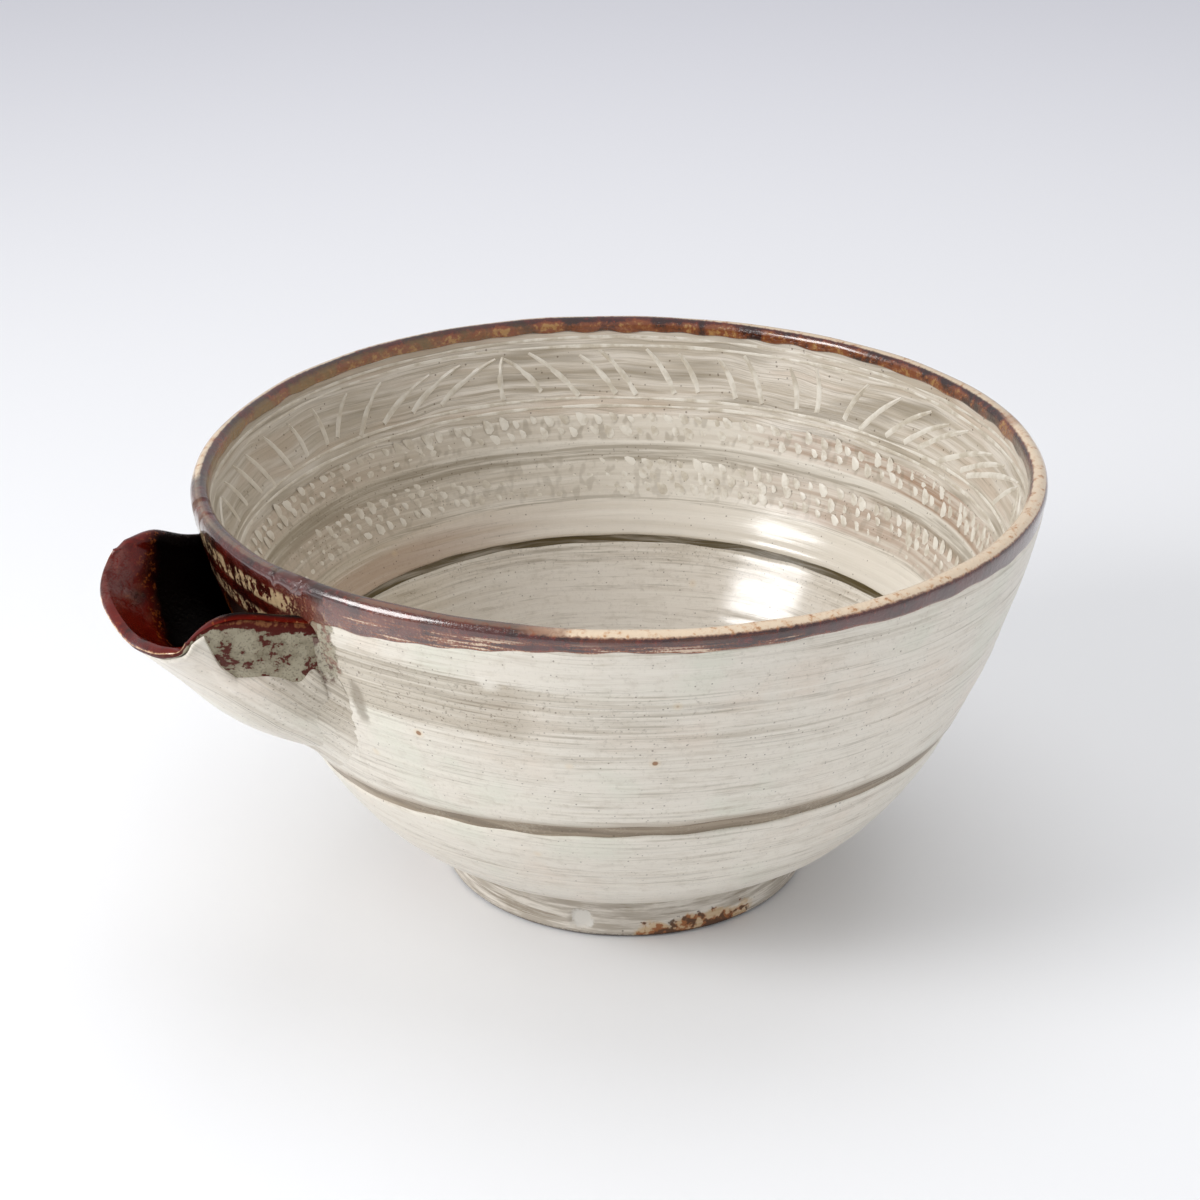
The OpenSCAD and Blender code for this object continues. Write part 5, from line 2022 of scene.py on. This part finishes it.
class WallScatter:
    """A node tree that lays small shapes out flat and wraps them onto the inside of the wall."""

    def __init__(self, name: str, material: bpy.types.Material, bare_half: float = 0.24) -> None:
        """Starts the tree with the wall's profile as its geometry.

        Args:
            name: Name of the tree.
            material: Finish of the shapes.
            bare_half: Half angle of the bare part before the pour hole, in radians.
        """
        self.group = bpy.data.node_groups.new(name, "GeometryNodeTree")
        self.bench = Bench(self.group)
        self.material = material
        self.bare_half = bare_half
        self.inputs: dict[str, str] = {}
        self.wires: dict[str, Wire] = {}
        self._add("Geometry", "NodeSocketGeometry")
        self.group.interface.new_socket(name="Geometry", in_out="OUTPUT", socket_type="NodeSocketGeometry")

    def _add(self, label: str, kind: str) -> None:
        """Adds a named input and keeps its identifier."""
        socket = self.group.interface.new_socket(name=label, in_out="INPUT", socket_type=kind)
        self.inputs[label] = socket.identifier

    def _open(self, floats: tuple[str, ...], counts: tuple[str, ...]) -> dict[str, Wire]:
        """Adds the inputs and keeps a wire for each.

        Args:
            floats: Names of the sizes.
            counts: Names of the whole numbers.

        Returns:
            Wires by name.
        """
        for label in floats:
            self._add(label, "NodeSocketFloat")
        for label in counts:
            self._add(label, "NodeSocketInt")
        entry = self.bench.node("NodeGroupInput")
        self.wires = {label: self.bench.out(entry, label) for label in self.inputs}
        return self.wires

    def _random(self, low: float, high: float, shift: int) -> Wire:
        """A random number for each point, between two ends."""
        sockets = {2: low, 3: high, 8: self.wires["Seed"] + shift}
        return self.bench.out(self.bench.node("FunctionNodeRandomValue", {"data_type": "FLOAT"}, sockets), 1)

    def _index(self) -> Wire:
        """The number of each point."""
        return self.bench.out(self.bench.node("GeometryNodeInputIndex"))

    def _position(self) -> tuple[Wire, Wire, Wire]:
        """The place of each point."""
        return self.bench.split(self.bench.out(self.bench.node("GeometryNodeInputPosition")))

    def _moved(self, geometry: Wire, place: Wire) -> Wire:
        """Geometry with its points set to new places."""
        node = self.bench.node("GeometryNodeSetPosition", sockets={"Geometry": geometry, "Position": place})
        return self.bench.out(node)

    def _scattered(self, count: Wire, angle: Wire, rise: Wire) -> Wire:
        """Points laid out flat, without those in front of the pour hole.

        Args:
            count: How many points there are.
            angle: Their angles round the wall.
            rise: Their heights along it.

        Returns:
            The points that are left.
        """
        bench, radius = self.bench, self.wires["Radius"]
        place = bench.join(angle * radius, rise, 0.0)
        points = bench.node("GeometryNodePoints", sockets={"Count": count, "Position": place})
        over = bench.math("GREATER_THAN", abs(self._position()[0] / radius), math.pi - self.bare_half)
        return bench.out(bench.node("GeometryNodeDeleteGeometry", {"domain": "POINT"},
                                    {"Geometry": bench.out(points), "Selection": over}))

    def _wrap(self, shape: Wire, points: Wire, turn: Wire, scale: Wire) -> None:
        """Sets a shape on each point, wraps them all onto the wall and closes the tree.

        Args:
            shape: The shape, with x round the wall, y up it and z out of it.
            points: Points laid out flat.
            turn: Lean of the shape at each point.
            scale: Its size at each point.
        """
        bench = self.bench
        placed = bench.node("GeometryNodeInstanceOnPoints", sockets={
            "Points": points, "Instance": shape, "Rotation": bench.join(0.0, 0.0, turn), "Scale": scale,
        })
        flat = bench.node("GeometryNodeRealizeInstances", sockets={"Geometry": bench.out(placed)})
        x, y, z = self._position()
        angle = x / self.wires["Radius"]
        curve = bench.node("GeometryNodeMeshToCurve", sockets={"Mesh": self.wires["Geometry"]})
        sample = bench.node("GeometryNodeSampleCurve", {"mode": "LENGTH", "use_all_curves": True},
                            {"Curves": bench.out(curve), "Length": self.wires["Drop"] - y})
        radius, _, height = bench.split(bench.out(sample, "Position"))
        slope_r, _, slope_z = bench.split(bench.out(sample, "Tangent"))
        radius = radius + z * slope_z
        height = height - z * slope_r
        cos, sin = bench.math("COSINE", angle), bench.math("SINE", angle)
        wrapped = self._moved(bench.out(flat), bench.join(radius * cos, radius * sin, height))
        painted = bench.node("GeometryNodeSetMaterial",
                             sockets={"Geometry": wrapped, "Material": self.material})
        bench.node("NodeGroupOutput", sockets={"Geometry": bench.out(painted)})

    def feathers(self, turns: tuple[float, ...]) -> None:
        """Builds the tree of curved strokes, which fan out and stand upright half way between two turns.

        Args:
            turns: Directions at which the slant changes over, in degrees, from the lowest.
        """
        bench = self.bench
        wires = self._open(("Radius", "Drop", "Length", "Width", "Slant", "Sunk"), ("Count", "Seed"))
        step = self._index() + 0.5 + self._random(-0.28, 0.28, 1)
        lift = self._random(-0.06, 0.06, 2) * wires["Length"]
        kept = self._scattered(wires["Count"], step / wires["Count"] * FULL_TURN - math.pi, lift)
        angle = self._position()[0] / wires["Radius"]
        fan: Wire | float = 0.0
        gap: Wire | float = 0.0
        for first, last in zip(np.radians(turns[:-1]).tolist(), np.radians(turns[1:]).tolist()):
            inside = bench.math("GREATER_THAN", angle, first) * bench.math("LESS_THAN", angle, last)
            fan = inside * (1 - (angle - first) * (2 / (last - first))) + fan
            gap = inside * bench.math("MINIMUM", angle - first, last - angle) + gap
        way = bench.math("SIGN", fan + 0.001)
        lean = wires["Slant"] * (0.81 + way * 0.19) * (abs(fan) ** 0.4 + self._random(-0.07, 0.07, 3))
        room = bench.math("ARCTANGENT", gap * wires["Radius"] / wires["Length"] * 2.0)
        lean = bench.math("MINIMUM", lean, room)
        blade = bench.node("GeometryNodeMeshCube", sockets={
            "Size": (1.0, 1.0, 1.0), "Vertices X": 3, "Vertices Y": 9, "Vertices Z": 2,
        })
        across, along, up = self._position()
        taper = 0.88 - along * 0.42 - (along * along) * 0.9
        bow = (along * along - 0.08) * 2.4
        round_top = 1 - across * across * 3.0
        shaped = self._moved(bench.out(blade), bench.join(
            across * taper * wires["Width"] + bow,
            along * wires["Length"],
            (up + 0.5) * round_top * 0.34 - wires["Sunk"] - 0.08,
        ))
        stretch = 1 / bench.math("COSINE", lean) * self._random(0.8, 1.06, 4)
        self._wrap(shaped, kept, lean * way, bench.join(way * -1.0, stretch, 1.0))

    def dabs(self) -> None:
        """Builds the tree of rope dabs in rows."""
        bench = self.bench
        sizes = ("Radius", "Drop", "Length", "Width", "Slant", "Pitch", "Gap")
        wires = self._open(sizes, ("Count", "Rows", "Seed"))
        index = self._index()
        row = bench.math("FLOOR", (index + 0.01) / wires["Count"])
        step = index - row * wires["Count"] + row * 0.5 + self._random(-0.22, 0.22, 1)
        fall = row * wires["Pitch"] + bench.math("GREATER_THAN", row, 1.5) * wires["Gap"]
        rise = self._random(-0.35, 0.35, 2) - fall
        angle = step / wires["Count"] * FULL_TURN - math.pi
        kept = self._scattered(wires["Count"] * wires["Rows"], angle, rise)
        bead = bench.node("GeometryNodeMeshUVSphere", sockets={"Segments": 8, "Rings": 5, "Radius": 0.5})
        across, along, up = self._position()
        shaped = self._moved(bench.out(bead), bench.join(
            across * (1 - along * 0.8) * wires["Width"] + along * along * 1.2,
            along * wires["Length"],
            up * 0.3 - 0.03,
        ))
        size = self._random(0.6, 1.25, 3)
        lean = wires["Slant"] * self._random(0.5, 1.5, 4)
        self._wrap(shaped, kept, lean, bench.join(size, size, self._random(0.5, 1.0, 5)))


@dataclass(frozen=True)
class PhotoView:
    """Camera of the photograph, measured from the bowl's ellipses, in millimetres and degrees.

    The photograph's right lies at turn from +X, and the camera looks at aim, with x to the right and y away.
    """

    turn: float = -30.0
    aim: tuple[float, float, float] = (-5.14, 0.0, 54.58)
    distance: float = 509.3
    elevation: float = 25.29
    lens: float = 78.05
    sensor: float = 36.0

    def place(self, x: float, y: float, z: float) -> Vector:
        """A point given to the photograph's right, away and up, in millimetres, as a place in the scene."""
        return Matrix.Rotation(math.radians(self.turn), 3, "Z") @ Vector((x, y, z)) * MM

    def stand(self, name: str, data: bpy.types.ID, place: Vector, aim: Vector) -> Piece:
        """Puts a camera or a lamp in the scene, turned to what it points at.

        Args:
            name: Name of the object.
            data: The camera or the lamp.
            place: Where it stands, as the photograph sees it.
            aim: What it points at.

        Returns:
            The new object.
        """
        obj = bpy.data.objects.new(name, data)
        bpy.context.scene.collection.objects.link(obj)
        obj.location = self.place(*place)
        obj.rotation_euler = (self.place(*aim) - obj.location).to_track_quat("-Z", "Y").to_euler()
        return obj

    def build(self) -> None:
        """Makes the camera and gives it to the scene."""
        tilt = math.radians(self.elevation)
        aim = Vector(self.aim)
        data = bpy.data.cameras.new("photo_view")
        data.lens = self.lens
        data.sensor_width = self.sensor
        data.clip_start = 0.01
        data.clip_end = 100.0
        data.dof.use_dof = False
        place = aim + self.distance * Vector((0.0, -math.cos(tilt), math.sin(tilt)))
        bpy.context.scene.camera = self.stand("photo_view", data, place, aim)


@dataclass(frozen=True)
class Softbox:
    """A soft lamp, placed as the photograph sees it: x to the right, y away and z up, in millimetres."""

    name: str
    place: tuple[float, float, float]
    size: tuple[float, float]
    power: float
    mirrored: bool = False
    aim: tuple[float, float, float] = (0.0, 0.0, 50.0)

    def build(self, view: PhotoView) -> None:
        """Makes the lamp.

        Args:
            view: The photograph's view.
        """
        data = bpy.data.lights.new(self.name, "AREA")
        data.shape = "RECTANGLE"
        data.size, data.size_y = (side * MM for side in self.size)
        data.energy = self.power
        lamp = view.stand(self.name, data, Vector(self.place), Vector(self.aim))
        lamp.visible_glossy = self.mirrored


@dataclass(frozen=True)
class Studio:
    """Pale floor, soft lamps and even daylight, with a glow behind that only the camera sees."""

    view: PhotoView
    lamps: tuple[Softbox, ...] = (
        Softbox("key_softbox", (-620.0, -290.0, 420.0), (340.0, 340.0), 3.5, mirrored=True),
        Softbox("top_softbox", (60.0, 180.0, 900.0), (800.0, 800.0), 3.0),
        Softbox("right_bounce", (620.0, -480.0, 240.0), (500.0, 400.0), 0.6),
    )
    sky: float = 0.485
    glow: float = 0.92
    floor_size: float = 4000.0
    floor_drop: float = 0.1

    def build(self) -> None:
        """Sets up the light and the floor."""
        bpy.context.scene.view_settings.view_transform = "Standard"
        for lamp in self.lamps:
            lamp.build(self.view)
        self._sky()
        self._floor()

    def _sky(self) -> None:
        """Even light from all round, and a white backdrop where the camera sees it."""
        world = bpy.data.worlds.new("even_daylight")
        bpy.context.scene.world = world
        world.use_nodes = True
        world.node_tree.nodes.clear()
        bench = Bench(world.node_tree)
        seen = bench.out(bench.node("ShaderNodeLightPath"), "Is Camera Ray")
        even, glow = (
            bench.out(bench.node("ShaderNodeBackground", sockets={"Color": colour, "Strength": strength}))
            for colour, strength in (((0.97, 0.98, 1.0, 1.0), self.sky), ((1.0, 1.0, 1.0, 1.0), self.glow))
        )
        mixed = bench.node("ShaderNodeMixShader", sockets={0: seen, 1: even, 2: glow})
        bench.node("ShaderNodeOutputWorld", sockets={"Surface": bench.out(mixed)})

    def _floor(self) -> None:
        """A pale sweep of paper, cooler far away."""
        half = self.floor_size * MM
        level = -self.floor_drop * MM
        corners = [(-half, -half, level), (half, -half, level), (half, half, level), (-half, half, level)]
        mesh = bpy.data.meshes.new("paper_floor")
        mesh.from_pydata(corners, [], [(0, 1, 2, 3)])
        floor = bpy.data.objects.new("paper_floor", mesh)
        bpy.context.scene.collection.objects.link(floor)
        paint = Paint("paper")
        away = self.view.place(0.0, 1.0, 0.0) / MM
        depth = paint.x * away.x + paint.y * away.y
        paint.start(depth.step(50.0, 950.0), (0.93, 0.935, 0.955, 1.0), (0.93, 0.93, 1.0, 1.0))
        paint.glaze({"Base Color": paint.colour, "Roughness": 0.9, "Specular IOR Level": 0.1})
        mesh.materials.append(paint.material)


def main() -> None:
    """Builds the bowl's pieces in order, then the studio."""
    logging.basicConfig(level=logging.INFO, format="%(name)s: %(message)s")
    view = PhotoView()
    view.build()
    wall = WallProfile.from_frame()
    common = (wall, SkinPath(wall), Workshop(HandWarp(wall)), PourHole(), TiltedGroove())
    spout = PouringSpout(*common)
    rim = IronRim(*common)
    ThrownBowl(*common).build()
    TrimmedFoot(*common).build()
    spout.build()
    SlipCoats(*common, spout.seam_heights, rim.lower_edge).build()
    rim.build()
    InlaidBands(*common).build()
    Studio(view).build()


if __name__ == "__main__":
    main()
